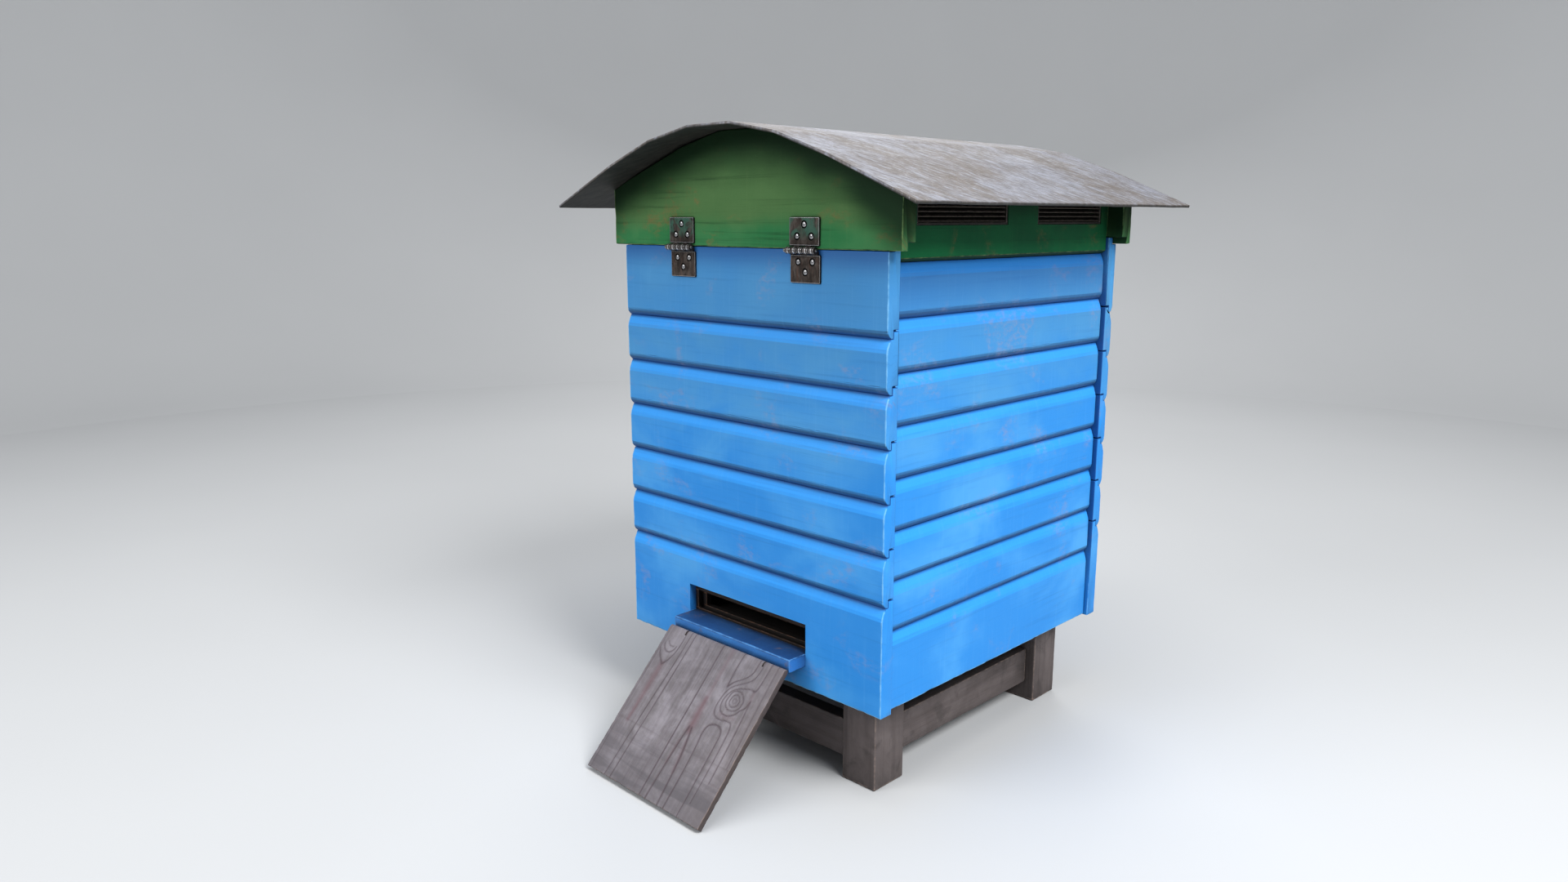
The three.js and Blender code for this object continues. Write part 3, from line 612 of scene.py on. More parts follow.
def smooth(mesh, sharp):
    """Shades smooth, with edges over sharp degrees kept sharp."""
    for polygon in mesh.polygons:
        polygon.use_smooth = True
    mesh.set_sharp_from_angle(angle=math.radians(sharp))


def boolean(target, tools, operation="DIFFERENCE", sharp=35.0):
    """Cuts or joins target with closed tool objects one by one, and deletes the tools.
    A cut that loses the piece is tried again with the tool moved by a hair."""
    for tool in tools:
        before = len(target.data.polygons)
        for attempt in range(4):
            modifier = target.modifiers.new("cut", "BOOLEAN")
            modifier.operation = operation
            modifier.solver = "EXACT"
            modifier.use_self = attempt == 3
            modifier.object = tool
            bpy.context.view_layer.update()
            depsgraph = bpy.context.evaluated_depsgraph_get()
            mesh = bpy.data.meshes.new_from_object(target.evaluated_get(depsgraph))
            target.modifiers.clear()
            if len(mesh.polygons) > 0.5 * before:
                break
            nudge = attempt + 1
            tool.location = (0.000013 * nudge, -0.000017 * nudge, 0.000011 * nudge)
        target.data = mesh
        bpy.data.objects.remove(tool)
    smooth(target.data, sharp)


class Shells:
    """Collects closed shells, then makes one object. Each vertex has a grain place (gc),
    wear (1 on rubbed edges; on the hinge knuckles and the lowest board edge it also lays a painted
    highlight) and cavity (cav, 1 deep in a groove, where the paints lay painted shade)."""

    def __init__(self):
        self.verts, self.faces, self.grain, self.wear, self.cavity = [], [], [], [], []

    def add(self, verts, faces, grain, wear, cavity):
        first = len(self.verts)
        self.verts += verts
        self.faces += [tuple(i + first for i in face) for face in faces]
        self.grain += grain
        self.wear += wear
        self.cavity += cavity

    def loft(self, outline, stations, place, seed, end_radius=0.8, wave=0.0, chip=0.0,
             warp=None, shade=None, level=False):
        """Sweeps an outline through stations, in mm, its ends rounded by end_radius.
        place(station, depth, height) gives body millimetres, warp changes depth and height,
        and shade adds cavity. wave and chip are the sizes of swells and of chipped edges.
        level keeps the grain straight where warp bends the outline."""
        points = np.array([point[:2] for point in outline])
        normals = outward_normals(points)
        lengths = np.linalg.norm(np.roll(points, -1, 0) - points, axis=1)
        arc = np.concatenate([[0], np.cumsum(lengths)[:-1]])
        first, last = stations[0], stations[-1]
        # sections: (station, inset, wear)
        sections = [(station, 0.0, 0.0) for station in stations]
        if end_radius > 0:
            start = []
            for i in range(3):
                turn = math.pi / 2 * (1 - i / 3)
                start.append((first + end_radius * (1 - math.sin(turn)),
                              end_radius * (1 - math.cos(turn)), 0.6 + 0.4 * i / 3))
            start += [(first + end_radius + gap, 0.0, wear)
                      for gap, wear in ((0.0, 1.0), (1.0, 0.7), (2.4, 0.0))]
            margin = end_radius + 3.0
            sections = start + [row for row in sections
                                if first + margin < row[0] < last - margin]
            sections += [(first + last - station, inset, wear)
                         for station, inset, wear in reversed(start)]
        verts, grain, wears, cavities = [], [], [], []
        for station, inset, end_wear in sections:
            for j, (depth, height) in enumerate(points):
                cavity = outline[j][3]
                room = (*outline[j], FREE)[4]
                offset = -min(inset, room)
                wear = max(outline[j][2], end_wear * (1 - 0.9 * cavity))
                offset += wave * mn.noise(
                    Vector((station * 0.011 + seed * 3.1, depth * 0.03, height * 0.03)))
                if chip and wear > 0.3:
                    bite = mn.noise(Vector((station * 0.16 + seed * 7.7, depth * 0.22 + seed,
                                            height * 0.22)))
                    offset -= chip * max(0.0, bite - 0.12) * wear
                depth, height = depth + normals[j][0] * offset, height + normals[j][1] * offset
                if warp is not None:
                    depth, height = warp(station, depth, height)
                if shade is not None:
                    cavity = max(cavity, shade(station, depth, height))
                verts.append(to_metres(*place(station, depth, height)))
                grain.append((station * MM + seed * 1.37,
                              (height + depth if level else arc[j]) * MM + seed * 0.61,
                              seed * 0.37))
                wears.append(wear)
                cavities.append(cavity)
        self.add(verts, tube_faces(len(sections), len(points)), grain, wears, cavities)

    def bar(self, x0, x1, y0, y1, z0, z1, radius=1.0, along="x", seed=0.0, step=30.0,
            wave=0.0, chip=0.0):
        """A bar with rounded edges, its grain along one axis."""
        a0, a1, b0, b1, start, end = {"x": (y0, y1, z0, z1, x0, x1),
                                      "y": (x0, x1, z0, z1, y0, y1),
                                      "z": (x0, x1, y0, y1, z0, z1)}[along]
        place = {"x": lambda station, a, b: (station, a, b),
                 "y": lambda station, a, b: (a, station, b),
                 "z": lambda station, a, b: (a, b, station)}[along]
        corners = [(a, b, radius, 1.0, 0) for a, b in ((a0, b0), (a1, b0), (a1, b1), (a0, b1))]
        stations = list(np.linspace(start, end, max(2, int((end - start) / step)) + 1))
        self.loft(refine(round_corners(corners, 3), step), stations, place, seed,
                  end_radius=radius, wave=wave, chip=chip)

    def make(self, name, material, body, slot, replaces=None, sharp=38.0, cap_wear=0.12,
             cap_cavity=0.0, cutters=(), cut_sharp=35.0):
        """Makes the object. cap_wear and cap_cavity scale wear and cavity on the end caps."""
        made = new_object(name, self.verts, self.faces)
        mesh = made.data
        mesh.attributes.new("gc", "FLOAT_VECTOR", "POINT").data.foreach_set(
            "vector", np.array(self.grain, np.float32).ravel())
        for key, values, cap in (("wear", self.wear, cap_wear),
                                 ("cav", self.cavity, cap_cavity)):
            corners = [values[i] * (cap if len(face) > 4 else 1.0)
                       for face in self.faces for i in face]
            mesh.attributes.new(key, "FLOAT", "CORNER").data.foreach_set(
                "value", np.array(corners, np.float32))
        face_outwards(mesh)
        smooth(mesh, sharp)
        mesh.materials.append(material)
        if replaces:
            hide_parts(replaces)
        if cutters:
            boolean(made, cutters, sharp=cut_sharp)
        if body:
            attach(made, body)
        return made


def cutter_box(x0, x1, y0, y1, z0, z1):
    verts = [to_metres(x, y, z) for x in (x0, x1) for y in (y0, y1) for z in (z0, z1)]
    return new_object("tool", verts, [(0, 1, 3, 2), (4, 6, 7, 5), (0, 4, 5, 1), (2, 3, 7, 6),
                                      (0, 2, 6, 4), (1, 5, 7, 3)])


def lathe(name, profile, x, y, z, segments):
    """Closed body of revolution about a line along y through (x, y, z).
    profile is [(radius, distance forward)] from axis to axis; forward is -y."""
    verts, faces, rings = [], [], []
    for radius, forward in profile:
        count = segments if radius > 1e-6 else 1
        rings.append([len(verts) + k for k in range(count)])
        for k in range(count):
            turn = 2 * math.pi * k / segments
            verts.append(to_metres(x + radius * math.cos(turn), y - forward,
                                   z + radius * math.sin(turn)))
    for near, far in zip(rings, rings[1:]):
        for j in range(segments):
            k = (j + 1) % segments
            if len(near) == 1:
                faces.append((near[0], far[k], far[j]))
            elif len(far) == 1:
                faces.append((near[j], near[k], far[0]))
            else:
                faces.append((near[j], near[k], far[k], far[j]))
    made = new_object(name, verts, faces)
    face_outwards(made.data)
    return made


# ------------------------------------------------------------------ wall boards
LAP, GROOVE, TONGUE = 10.0, 6.0, 9.0
FRONT_JOINTS = [node_box(f"front_board_{i}").z1 - TONGUE for i in range(2, 8)]
WALL_TOP = node_box("front_board_1").z1 + 0.2 - TONGUE
SIDE_JOINTS = [476.1, 413.5, 351.4, 288.5, 225.7, 164.3, 101.6]
SIDE = node_box("right_side_panel")
SIDE_TOP = SIDE.z1 - TONGUE


def board_outline(bottom, low_joint, high_joint):
    """A shiplap board's end profile, outer face at depth 0. Without a low joint it is the
    lowest board, without a high joint the top one. Its cavity values mark the grooves, where the
    paints lay painted shade."""
    if low_joint is None:
        # the lowest edge has wear 1.5, so the pale edge colour lays a painted highlight along it
        corners = [(BOARD, bottom, 0.6, 0.5, 0), (0, bottom, 1.3, 1.5, 0)]
    else:
        corners = [(BOARD, low_joint + 10, 0.3, 0, 1),
                   (LAP, low_joint + 10, 0.0, 0, 1),
                   (LAP, low_joint + 0.2, 0.4, 0, 1),
                   (GROOVE - 0.2, low_joint + 0.2, 0.8, 0.15, 1.0),
                   (3.1, low_joint + 2.4, 3.0, 0.0, 0.55),
                   (0.9, low_joint + 5.6, 3.0, 0.0, 0.22),
                   (0, low_joint + 9.4, 3.5, 0.35, 0.0)]
    if high_joint is None:
        corners += [(0, WALL_TOP - 0.2, 1.6, 0.15, 0.1),
                    (LAP, WALL_TOP - 0.2, 0.0, 0, 0.6),
                    (LAP, WALL_TOP + 8.8, 0.8, 0.6, 0.2),
                    (BOARD, WALL_TOP + 8.8, 0.8, 0.6, 0)]
    else:
        corners += [(0, high_joint - 16, 3.0, 0.30, 0.0),
                    (0.9, high_joint - 11.4, 6.0, 0.0, 0.0),
                    (3.6, high_joint - 4.6, 6.0, 0.0, 0.05),
                    (GROOVE + 0.2, high_joint - 0.2, 0.4, 0.0, 1.0),
                    (LAP + 0.2, high_joint, 0.0, 0, 1),
                    (LAP + 0.2, high_joint + 8.3, 0.7, 0.0, 1),
                    (BOARD, high_joint + 8.3, 0.5, 0.0, 1)]
    return refine(round_corners(corners), 14.0)


def build_wall(prefix, seed, y_at):
    """Front or rear wall; y_at turns depth from its outer face into y."""
    for i in range(7):
        outline = board_outline(0.0, FRONT_JOINTS[i] if i < 6 else None,
                                FRONT_JOINTS[i - 1] if i > 0 else None)
        shade = None
        cutters = []
        if i == 0:
            # painted shade under the gable along the top board
            def shade(x, depth, z):
                return 0.80 * unit(1.10 - (WALL_TOP - z) / 36.0)

            # a rebate inside the top board, for the ears of the frames
            cutters.append(cutter_box(-195, 195, *sorted((y_at(LAP - 0.8), y_at(BOARD + 6))),
                                      node_box("frame_01").z1 - 10.2, 600))
        if i == 6 and prefix == "front_board":
            shelf = node_box("landing_shelf")
            cutters.append(cutter_box(shelf.x0 - 0.2, shelf.x1 + 0.2, -6, BOARD + 6,
                                      shelf.z0 - 0.2, node_box("entrance_frame").z1 + 0.2))
        board = Shells()
        board.loft(outline, spaced(-HALF, HALF, 7.0), lambda x, depth, z: (x, y_at(depth), z),
                   seed + i * 1.7, wave=0.45, chip=1.5, shade=shade)
        board.make(f"{prefix}_{i + 1}_shiplap", BLUE, "hive_body", "blue_painted_wood",
                   f"{prefix}_{i + 1}", cutters=cutters)


def build_side_wall(name, side):
    front, rear = SIDE.y0, SIDE.y1
    stations = spaced(front, rear - 12, 7.0) + [rear - gap for gap in (9, 7.5, 6, 4.5, 3.2, 0)]

    def ease_rear(y, depth, z):
        """The boards' rear ends are eased back like their long edges."""
        near = max(0.0, 1 - (rear - y) / 8.0)
        ease = 4.2 * (1 - math.sqrt(max(0.0, 1 - near * near)))
        return depth + ease * max(0.0, 1 - depth / 11.0), z

    # painted shade: a dark line at the front joint, and shade under the roof on the upper boards
    def shade(y, depth, z):
        end = 0.9 if y < front + 1.0 else max(0.0, 0.7 * (1 - (y - front - 1.0) / 2.2))
        return max(end, 0.60 * unit(1.25 - (SIDE_TOP - z) / 95.0))

    for i in range(8):
        outline = board_outline(SIDE.z0, SIDE_JOINTS[i] if i < 7 else None,
                                SIDE_TOP if i == 0 else SIDE_JOINTS[i - 1])
        board = Shells()
        board.loft(outline, stations, lambda y, depth, z: (side * (SIDE.x1 - depth), y, z),
                   60 + i * 2.3 + side * 11, wave=0.45, chip=1.3, warp=ease_rear, shade=shade)
        board.make(f"{name}_side_board_{i + 1}", BLUE, "hive_body", "blue_painted_wood",
                   f"{name}_side_panel")


build_wall("front_board", 0.0, lambda depth: depth)
build_wall("rear_board", 31.0, lambda depth: DEPTH - depth)
SIDES = (("left", -1), ("right", 1))
for side_name, side_sign in SIDES:
    build_side_wall(side_name, side_sign)

# ------------------------------------------------------------------ gables and roof side boards
GABLE_FRONT, GABLE_REAR = node_box("gable_front"), node_box("gable_rear")
GABLE_HALF = GABLE_FRONT.x1


def build_gable(node, y_at, seed):
    box = node_box(node)
    tops = {}
    for x, z in node_outline(node):
        if z > WALL_TOP + 30:
            key = round(x, 1)
            tops[key] = max(tops.get(key, 0), z)
    arch_x = sorted(tops)
    arch_z = [tops[x] for x in arch_x]

    def arch(x):
        return float(np.interp(x, arch_x, arch_z)) - 0.15

    # a straight board, whose part above the foot is stretched up to the arch
    height, foot = 100.0, box.z0 + 12
    corners = [(0, box.z0, 1.3, 1.0, 0), (9.5, box.z0, 0.8, 0.8, 0),
               (9.5, box.z0 + 9.3, 0.0, 0, 0.7), (22.6, box.z0 + 9.3, 0.8, 0.7, 0.2),
               (22.6, box.z0 + height, 0.8, 0.2, 0), (0, box.z0 + height, 0.9, 0.35, 0)]

    def warp(x, depth, z):
        if z <= foot:
            return depth, z
        return depth, foot + (z - foot) / (height - 12) * (arch(x) - foot)

    def shade(x, depth, z):
        """Painted shade under the sheet, fading down the board, and painted shade darkening the
        ends.
        """
        below = arch(x) - z
        if abs(x) > GABLE_HALF - 0.6:
            # the end faces stand right under the eave
            return unit(1.0 - max(0.0, below - 14.0) / 60.0)
        sheet_shade = (1.12 + 0.10 * x / GABLE_HALF) * max(0.0, 1 - below / 84.0) ** 1.05
        right = max(0.0, 1 - (GABLE_HALF - x) / 90.0) * 0.44
        left = max(0.0, 1 - (GABLE_HALF + x) / 26.0) * 0.10
        return unit(sheet_shade + right + left + 0.16 * mn.noise(Vector((x * 0.02, z * 0.05, seed))))

    board = Shells()
    board.loft(refine(round_corners(corners), 9.0),
               [round(x, 2) for x in spaced(box.x0, box.x1, 7.0)],
               lambda x, depth, z: (x, y_at(depth), z), seed, wave=0.4, chip=1.6, warp=warp,
               shade=shade, level=True)
    board.make(node + "_board", GREEN, "roof", "green_painted_wood", node, cap_wear=0.25,
               cap_cavity=1.0)


def build_roof_side(name, side):
    node = f"roof_side_{name}"
    box = node_box(node)
    outer = max(abs(box.x0), abs(box.x1))
    outer_top = max(z for x, z in node_outline(node) if abs(abs(x) - outer) < 0.2)
    corners = [(BOARD, SIDE_TOP + 10, 0.3, 0, 0.6), (LAP, SIDE_TOP + 10, 0.0, 0, 1),
               (LAP, SIDE_TOP + 0.3, 0.4, 0, 1), (GROOVE - 1.2, SIDE_TOP + 0.3, 1.1, 0.4, 0.5),
               (0, SIDE_TOP + 4.2, 2.6, 0.8, 0), (0, outer_top, 0.8, 0.2, 0),
               (BOARD, box.z1, 1.6, 0.2, 0)]
    # the lower corners at both ends are cut away, and the vents are let in
    cutters = [cutter_box(-301, 299, -11, 22.53, 503, WALL_TOP + 11.04),
               cutter_box(-299, 302, 485.17, 601, 501, WALL_TOP + 11.03)]
    for end in ("front", "rear"):
        vent = node_box(f"vent_grille_{name}_{end}")
        cutters.append(cutter_box(vent.x0 - 30, vent.x1 + 30, vent.y0 - 0.2, vent.y1 + 0.2,
                                  vent.z0 - 0.2, vent.z1 + 0.2))
    board = Shells()
    # shade lays painted shade on the board's upper part, under the sheet
    board.loft(refine(round_corners(corners), 12.0), spaced(box.y0, box.y1, 8.0),
               lambda y, depth, z: (side * (outer - depth), y, z), 131 + side * 5,
               end_radius=0.4, wave=0.2,
               shade=lambda y, depth, z: min(0.97, 1.08 * max(0.0, 1 - (outer_top - z) / 70.0)))
    board.make(f"roof_side_board_{name}", GREEN_SHADED_SIDE, "roof", "green_painted_wood", node,
               cutters=cutters)


def build_vent(name, side, end):
    """A rolled rim and seven sloping louvre blades."""
    node = f"vent_grille_{name}_{end}"
    box = node_box(node)
    outer = max(abs(box.x0), abs(box.x1))
    rim, pitch, tilt = 3.2, 5.5, math.radians(32)
    x0, x1 = mirrored(side, outer - 9, outer)
    low, high = box.z0 + rim - 0.5, box.z1 - rim + 0.5
    vent = Shells()
    for seed, along, span in ((3.0, "y", (box.y0, box.y1, box.z0, box.z0 + rim)),
                              (4.0, "y", (box.y0, box.y1, box.z1 - rim, box.z1)),
                              (5.0, "z", (box.y0, box.y0 + rim, low, high)),
                              (6.0, "z", (box.y1 - rim, box.y1, low, high))):
        vent.bar(x0, x1, *span, radius=0.7, along=along, seed=seed, step=20)
    # blade section before tilting: (outwards, up)
    blade = ((-3.7, -0.55), (3.4, -0.55), (3.7, -0.2), (3.7, 0.25), (3.3, 0.6), (-3.7, 0.55))
    for i in range(7):
        middle = box.z0 + 6.2 + pitch * i
        outline = [(outer - 4.6 + out * math.cos(tilt), middle - out * math.sin(tilt) + up,
                    1.0 if out > 3 else 0.2, 0.0) for out, up in blade]
        vent.loft(outline, [box.y0 + 1.5, (box.y0 + box.y1) / 2, box.y1 - 1.5],
                  lambda y, out, z: (side * out, y, z), 7.0 + i, end_radius=0)
    vent.make(f"vent_louvre_{name}_{end}", VENT, "roof", "vent_metal", node)


def build_sheet():
    """The bent roof sheet; cavity marks its underside, which the sheet's material paints dark as
    painted shade.
    """
    box = node_box("roof_sheet")
    points = {(round(x, 2), round(z, 2)) for x, z in node_outline("roof_sheet")}
    # the upper surface is the points nothing lies above
    upper = sorted((x, z) for x, z in points
                   if not any(abs(x2 - x) < 3 and z2 > z + 2.0 for x2, z2 in points))
    lower = sorted(points - set(upper))
    corners = []
    for line, bend, rim, cavity in ((upper, 14.0, 0.9, 0.0), (lower[::-1], 12.0, 0.7, 1.0)):
        for i, (x, z) in enumerate(line):
            inside = 0 < i < len(line) - 1
            corners.append((x, z, bend if inside else rim, 0.0 if inside else 1.0, cavity))
    outline = []
    for x, z, wear, _, room in refine(round_corners(corners, 5), 12.0):
        below = np.interp(x, [p[0] for p in upper], [p[1] for p in upper]) - z
        cavity = 0.0 if below < 0.7 else (0.75 if below < 3.0 else 1.0)
        outline.append((x, z, wear, cavity, room))

    def bow(y, x, z):
        """Only the overhangs are free to bow."""
        dip = 0.9 * mn.noise(Vector((x * 0.008, y * 0.009, 2.3)))
        dip += 0.35 * mn.noise(Vector((x * 0.03, y * 0.03, 7.1)))
        end = max(0.0, 1 - min(y - box.y0, box.y1 - y) / 45.0)
        eave = max(0.0, (abs(x) - 262) / 55.0)
        return x, z - 0.35 - abs(dip) * 1.1 * max(end, min(1.0, eave))

    roof = Shells()
    roof.loft(outline, spaced(box.y0, box.y1, 8.0), lambda y, x, z: (x, y, z), 151.0,
              end_radius=0.7, warp=bow)
    roof.make("roof_bent_sheet", ROOF, "roof", "roof_sheet_metal", "roof_sheet", sharp=30.0,
              cap_wear=0.3, cap_cavity=0.9)


build_gable("gable_front", lambda depth: GABLE_FRONT.y0 + depth, 101.0)
build_gable("gable_rear", lambda depth: GABLE_REAR.y1 - depth, 117.0)
for side_name, side_sign in SIDES:
    build_roof_side(side_name, side_sign)
for side_name, side_sign in SIDES:
    for end_name in ("front", "rear"):
        build_vent(side_name, side_sign, end_name)
build_sheet()

# ------------------------------------------------------------------ stand
CORNERS = ("front_left", "front_right", "rear_left", "rear_right")


def build_bar(name, node, material, slot, **shape):
    """One bar that fills a node's box."""
    piece = Shells()
    piece.bar(*node_box(node), **shape)
    piece.make(name, material, "hive_body", slot, node)


for i, corner_name in enumerate(CORNERS):
    build_bar(f"leg_{corner_name}", f"stand_leg_{corner_name}", STAND, "stand_wood",
              radius=1.8, along="z", seed=170 + i * 3.1, step=9.0, wave=0.25, chip=0.9)
for i, rail_name in enumerate(("front", "rear", "left", "right")):
    build_bar(f"rail_{rail_name}", f"stand_rail_{rail_name}", STAND, "stand_wood",
              radius=1.4, along="x" if i < 2 else "y", seed=190 + i * 3.7, step=9.0,
              wave=0.25, chip=0.8)


# ------------------------------------------------------------------ shelf and entrance
def build_shelf():
    box = node_box("landing_shelf")
    corners = [(box.y1, box.z0, 0.4, 0, 0), (box.y1, box.z1, 0.4, 0, 0),
               (box.y0, box.z1, 2.2, 1.0, 0), (box.y0, box.z0, 1.3, 0.8, 0)]
    shelf = Shells()
    shelf.loft(refine(round_corners(corners), 7.0), spaced(box.x0, box.x1, 7.0),
               lambda x, y, z: (x, y, z), 211.0, end_radius=0.9, wave=0.4, chip=1.4)
    shelf.make("shelf_board", SHELF, "hive_body", "blue_painted_wood", "landing_shelf")


def build_entrance():
    """Three frames one behind the other: an outer one, a thin middle one and a rear one."""
    box = node_box("entrance_frame")
    # bars: (x0, x1), (y0, y1), (z0, z1), edge radius, grain axis, seed
    width = (box.x0, box.x1)
    bars = [(width, (box.y0, 15), (76.5, box.z1), 0.7, "x", 221),
            (width, (box.y0, 15), (box.z0, 50.2), 0.7, "x", 222)]
    for side in (-1, 1):
        bars += [
            (mirrored(side, 105.5, box.x1), (box.y0, 15), (49.8, 77), 0.7, "z", 223 + side),
            (mirrored(side, 108, box.x1), (14.83, 19.17), (48.43, 80.47), 0.4, "z", 226 + side),
            (mirrored(side, 98, box.x1), (19, box.y1), (52.5, 71.5), 0.7, "z", 229 + side)]
    bars += [(width, (14.8, 19.2), (80, box.z1), 0.4, "x", 231),
             (width, (14.8, 19.2), (box.z0, 48.9), 0.4, "x", 232),
             (width, (19, box.y1), (71, box.z1), 0.7, "x", 233),
             (width, (19, box.y1), (box.z0, 53), 0.7, "x", 234)]
    insert = Shells()
    for span_x, span_y, span_z, radius, along, seed in bars:
        insert.bar(*span_x, *span_y, *span_z, radius=radius, along=along, seed=seed, step=20)
    insert.make("entrance_insert", DARK, "hive_body", "entrance_wood", "entrance_frame")


build_shelf()
build_entrance()

# ------------------------------------------------------------------ ramp
# Grain curves on the ramp's face, in mm across from its left edge and down from its top end:
# (depth of colour, [(across, down, half width), ...])
GRAIN = [
    (0.45, [(4, 0, 0.9), (4, 60, 0.9), (4.5, 130, 0.9), (7, 212, 0.8)]),
    (0.70, [(14.5, 20, 0.7), (18, 23, 0.8), (23, 25, 0.9), (29, 23.5, 0.6)]),
    (0.80, [(9, 24, 0.7), (13, 30, 0.9), (19, 33.5, 1.0), (25, 33.5, 1.0), (30, 29.5, 0.9),
            (32.5, 23, 0.7)]),
    (0.85, [(5, 31, 0.8), (10, 39, 1.0), (17, 46, 1.1), (24, 52, 1.5)]),
    (0.85, [(24, 52, 1.5), (30, 45, 1.1), (35, 34, 0.9), (37.5, 22, 0.8), (38, 0, 0.6)]),
    (0.80, [(46.5, 0, 0.9), (45.5, 40, 0.9), (42.5, 87, 0.9), (40.5, 120, 0.9), (39, 160, 0.8),
            (37, 212, 0.7)]),
    (0.80, [(54.5, 0, 0.9), (53.5, 50, 0.9), (51.5, 110, 0.9), (49.5, 160, 0.9), (48, 212, 0.7)]),
    (0.28, [(88, 10, 1.6), (88.5, 60, 2.0), (88, 130, 1.6)]),
    (0.22, [(96, 70, 1.6), (95, 140, 2.2), (96, 205, 1.8)]),
    (0.20, [(72, 90, 1.6), (74, 150, 2.0), (72, 205, 1.4)]),
    (0.90, [(109.5, 0, 1.0), (109.5, 70, 1.0), (109.2, 140, 1.0), (109.5, 212, 0.9)]),
    (0.85, [(127, 110, 1.6), (125, 127, 1.4), (123.5, 150, 1.2), (122, 180, 1.2),
            (121, 212, 1.1)]),
    (0.85, [(132, 110, 1.6), (136, 128, 1.6), (139, 145, 1.5), (142, 175, 1.2),
            (144.5, 212, 1.1)]),
    (0.90, [(149.5, 0, 0.8), (149, 20, 0.9), (149.5, 35, 1.0), (150.5, 44, 1.5)]),
    (0.90, [(150.5, 44, 1.5), (158, 35.5, 0.9), (168, 28.5, 0.8), (175, 22, 0.8), (179, 14, 0.8),
            (180, 0, 0.7)]),
    (0.80, [(188.5, 0, 0.7), (187.5, 14, 0.8), (184, 24, 0.8), (176, 31, 0.8), (166, 37, 0.8),
            (158, 43, 0.8), (153, 51, 0.9), (150.5, 62, 0.9), (150, 73, 0.9), (153, 81, 0.9),
            (159, 85, 0.9), (168, 85.5, 0.9), (178, 84, 0.9), (185, 84.5, 0.9), (188.5, 90, 0.9),
            (190.3, 102, 0.9), (191, 125, 0.8), (191.5, 160, 0.7), (191.5, 190, 0.6)]),
    (0.85, [(200, 0, 0.7), (199.5, 18, 0.8), (198, 33, 1.1), (195, 37, 1.3), (189, 36, 0.8),
            (181, 38, 0.8), (171, 41, 0.8), (163, 46, 0.8), (158, 53, 0.8), (155.5, 62, 0.8),
            (157, 71, 0.9), (163, 77, 0.9), (174, 78, 0.9), (184, 73, 0.9), (189, 66, 0.9),
            (195, 60, 1.2), (197.5, 50, 1.0)]),
    (0.80, [(197.5, 50, 1.0), (199, 70, 0.9), (200.5, 95, 0.9), (201.5, 120, 0.9),
            (202.5, 160, 0.8)]),
    (0.55, [(212, 0, 0.8), (212.5, 40, 0.9), (213.5, 80, 0.9), (216, 135, 0.8)]),
    (0.85, [(156, 212, 0.9), (155.5, 160, 0.9), (153.5, 125, 1.0), (152, 110, 1.1),
            (154, 100, 1.2), (160, 95, 1.2), (168, 93.5, 1.2), (175, 95.5, 1.2), (179.5, 101, 1.1),
            (180.5, 112, 1.0), (181, 140, 0.9), (182, 180, 0.8), (182, 212, 0.7)]),
    (0.30, [(0, 137, 0.8), (60, 136.4, 0.6), (120, 137.4, 0.7), (222, 136.6, 0.8)]),
    (0.18, [(0, 159, 1.0), (90, 160.4, 0.8), (222, 159, 1.0)]),
]
# a knot: rings of (radius across, radius down, depth of colour)
for ring_across, ring_down, ring_depth in ((3.0, 3.2, 0.5), (7.6, 8.2, 0.85), (13.0, 13.5, 0.8)):
    GRAIN.append((ring_depth, [
        (173.5 + ring_across * math.cos(k * math.pi / 8) * (1 + 0.08 * math.sin(k * 1.3)),
         57.5 + ring_down * math.sin(k * math.pi / 8), 0.85) for k in range(17)]))
# stains, in the same columns
STAIN = [
    (0.85, [(24, 52, 4.2), (24, 66, 5.0), (23.5, 84, 4.6), (23, 110, 3.4), (22.5, 136, 2.6)]),
    (0.45, [(129, 0, 3.6), (129, 40, 3.4), (129, 70, 3.8)]),
    (1.00, [(129, 68, 3.8), (129, 86, 5.4), (130, 104, 6.0), (130, 114, 4.6)]),
    (0.50, [(136, 128, 2.6), (139, 148, 2.6), (141, 168, 2.0)]),
    (0.40, [(124, 130, 2.4), (122.5, 160, 2.2)]),
    (0.35, [(162, 79, 3.0), (174, 80, 3.2), (186, 78, 2.4)]),
    (0.40, [(196, 40, 2.6), (197, 54, 2.4)]),
]

ROD = node_box("ramp_hinge_rod")
ROD_Y, ROD_Z = (ROD.y0 + ROD.y1) / 2, (ROD.z0 + ROD.z1) / 2
RAMP_BOX = node_box("landing_ramp")
RAMP_WIDTH = RAMP_BOX.x1 - RAMP_BOX.x0
RAMP_HALF = 4.5                                     # half its thickness
SLOPE = math.radians(46.6)
DOWN = (-math.cos(SLOPE), -math.sin(SLOPE))         # down the plank, in y and z
OUT = (-math.sin(SLOPE), math.cos(SLOPE))           # out of its upper face
RAMP_LENGTH = (-RAMP_HALF * OUT[1] + ROD_Z - RAMP_BOX.z0) / -DOWN[1]


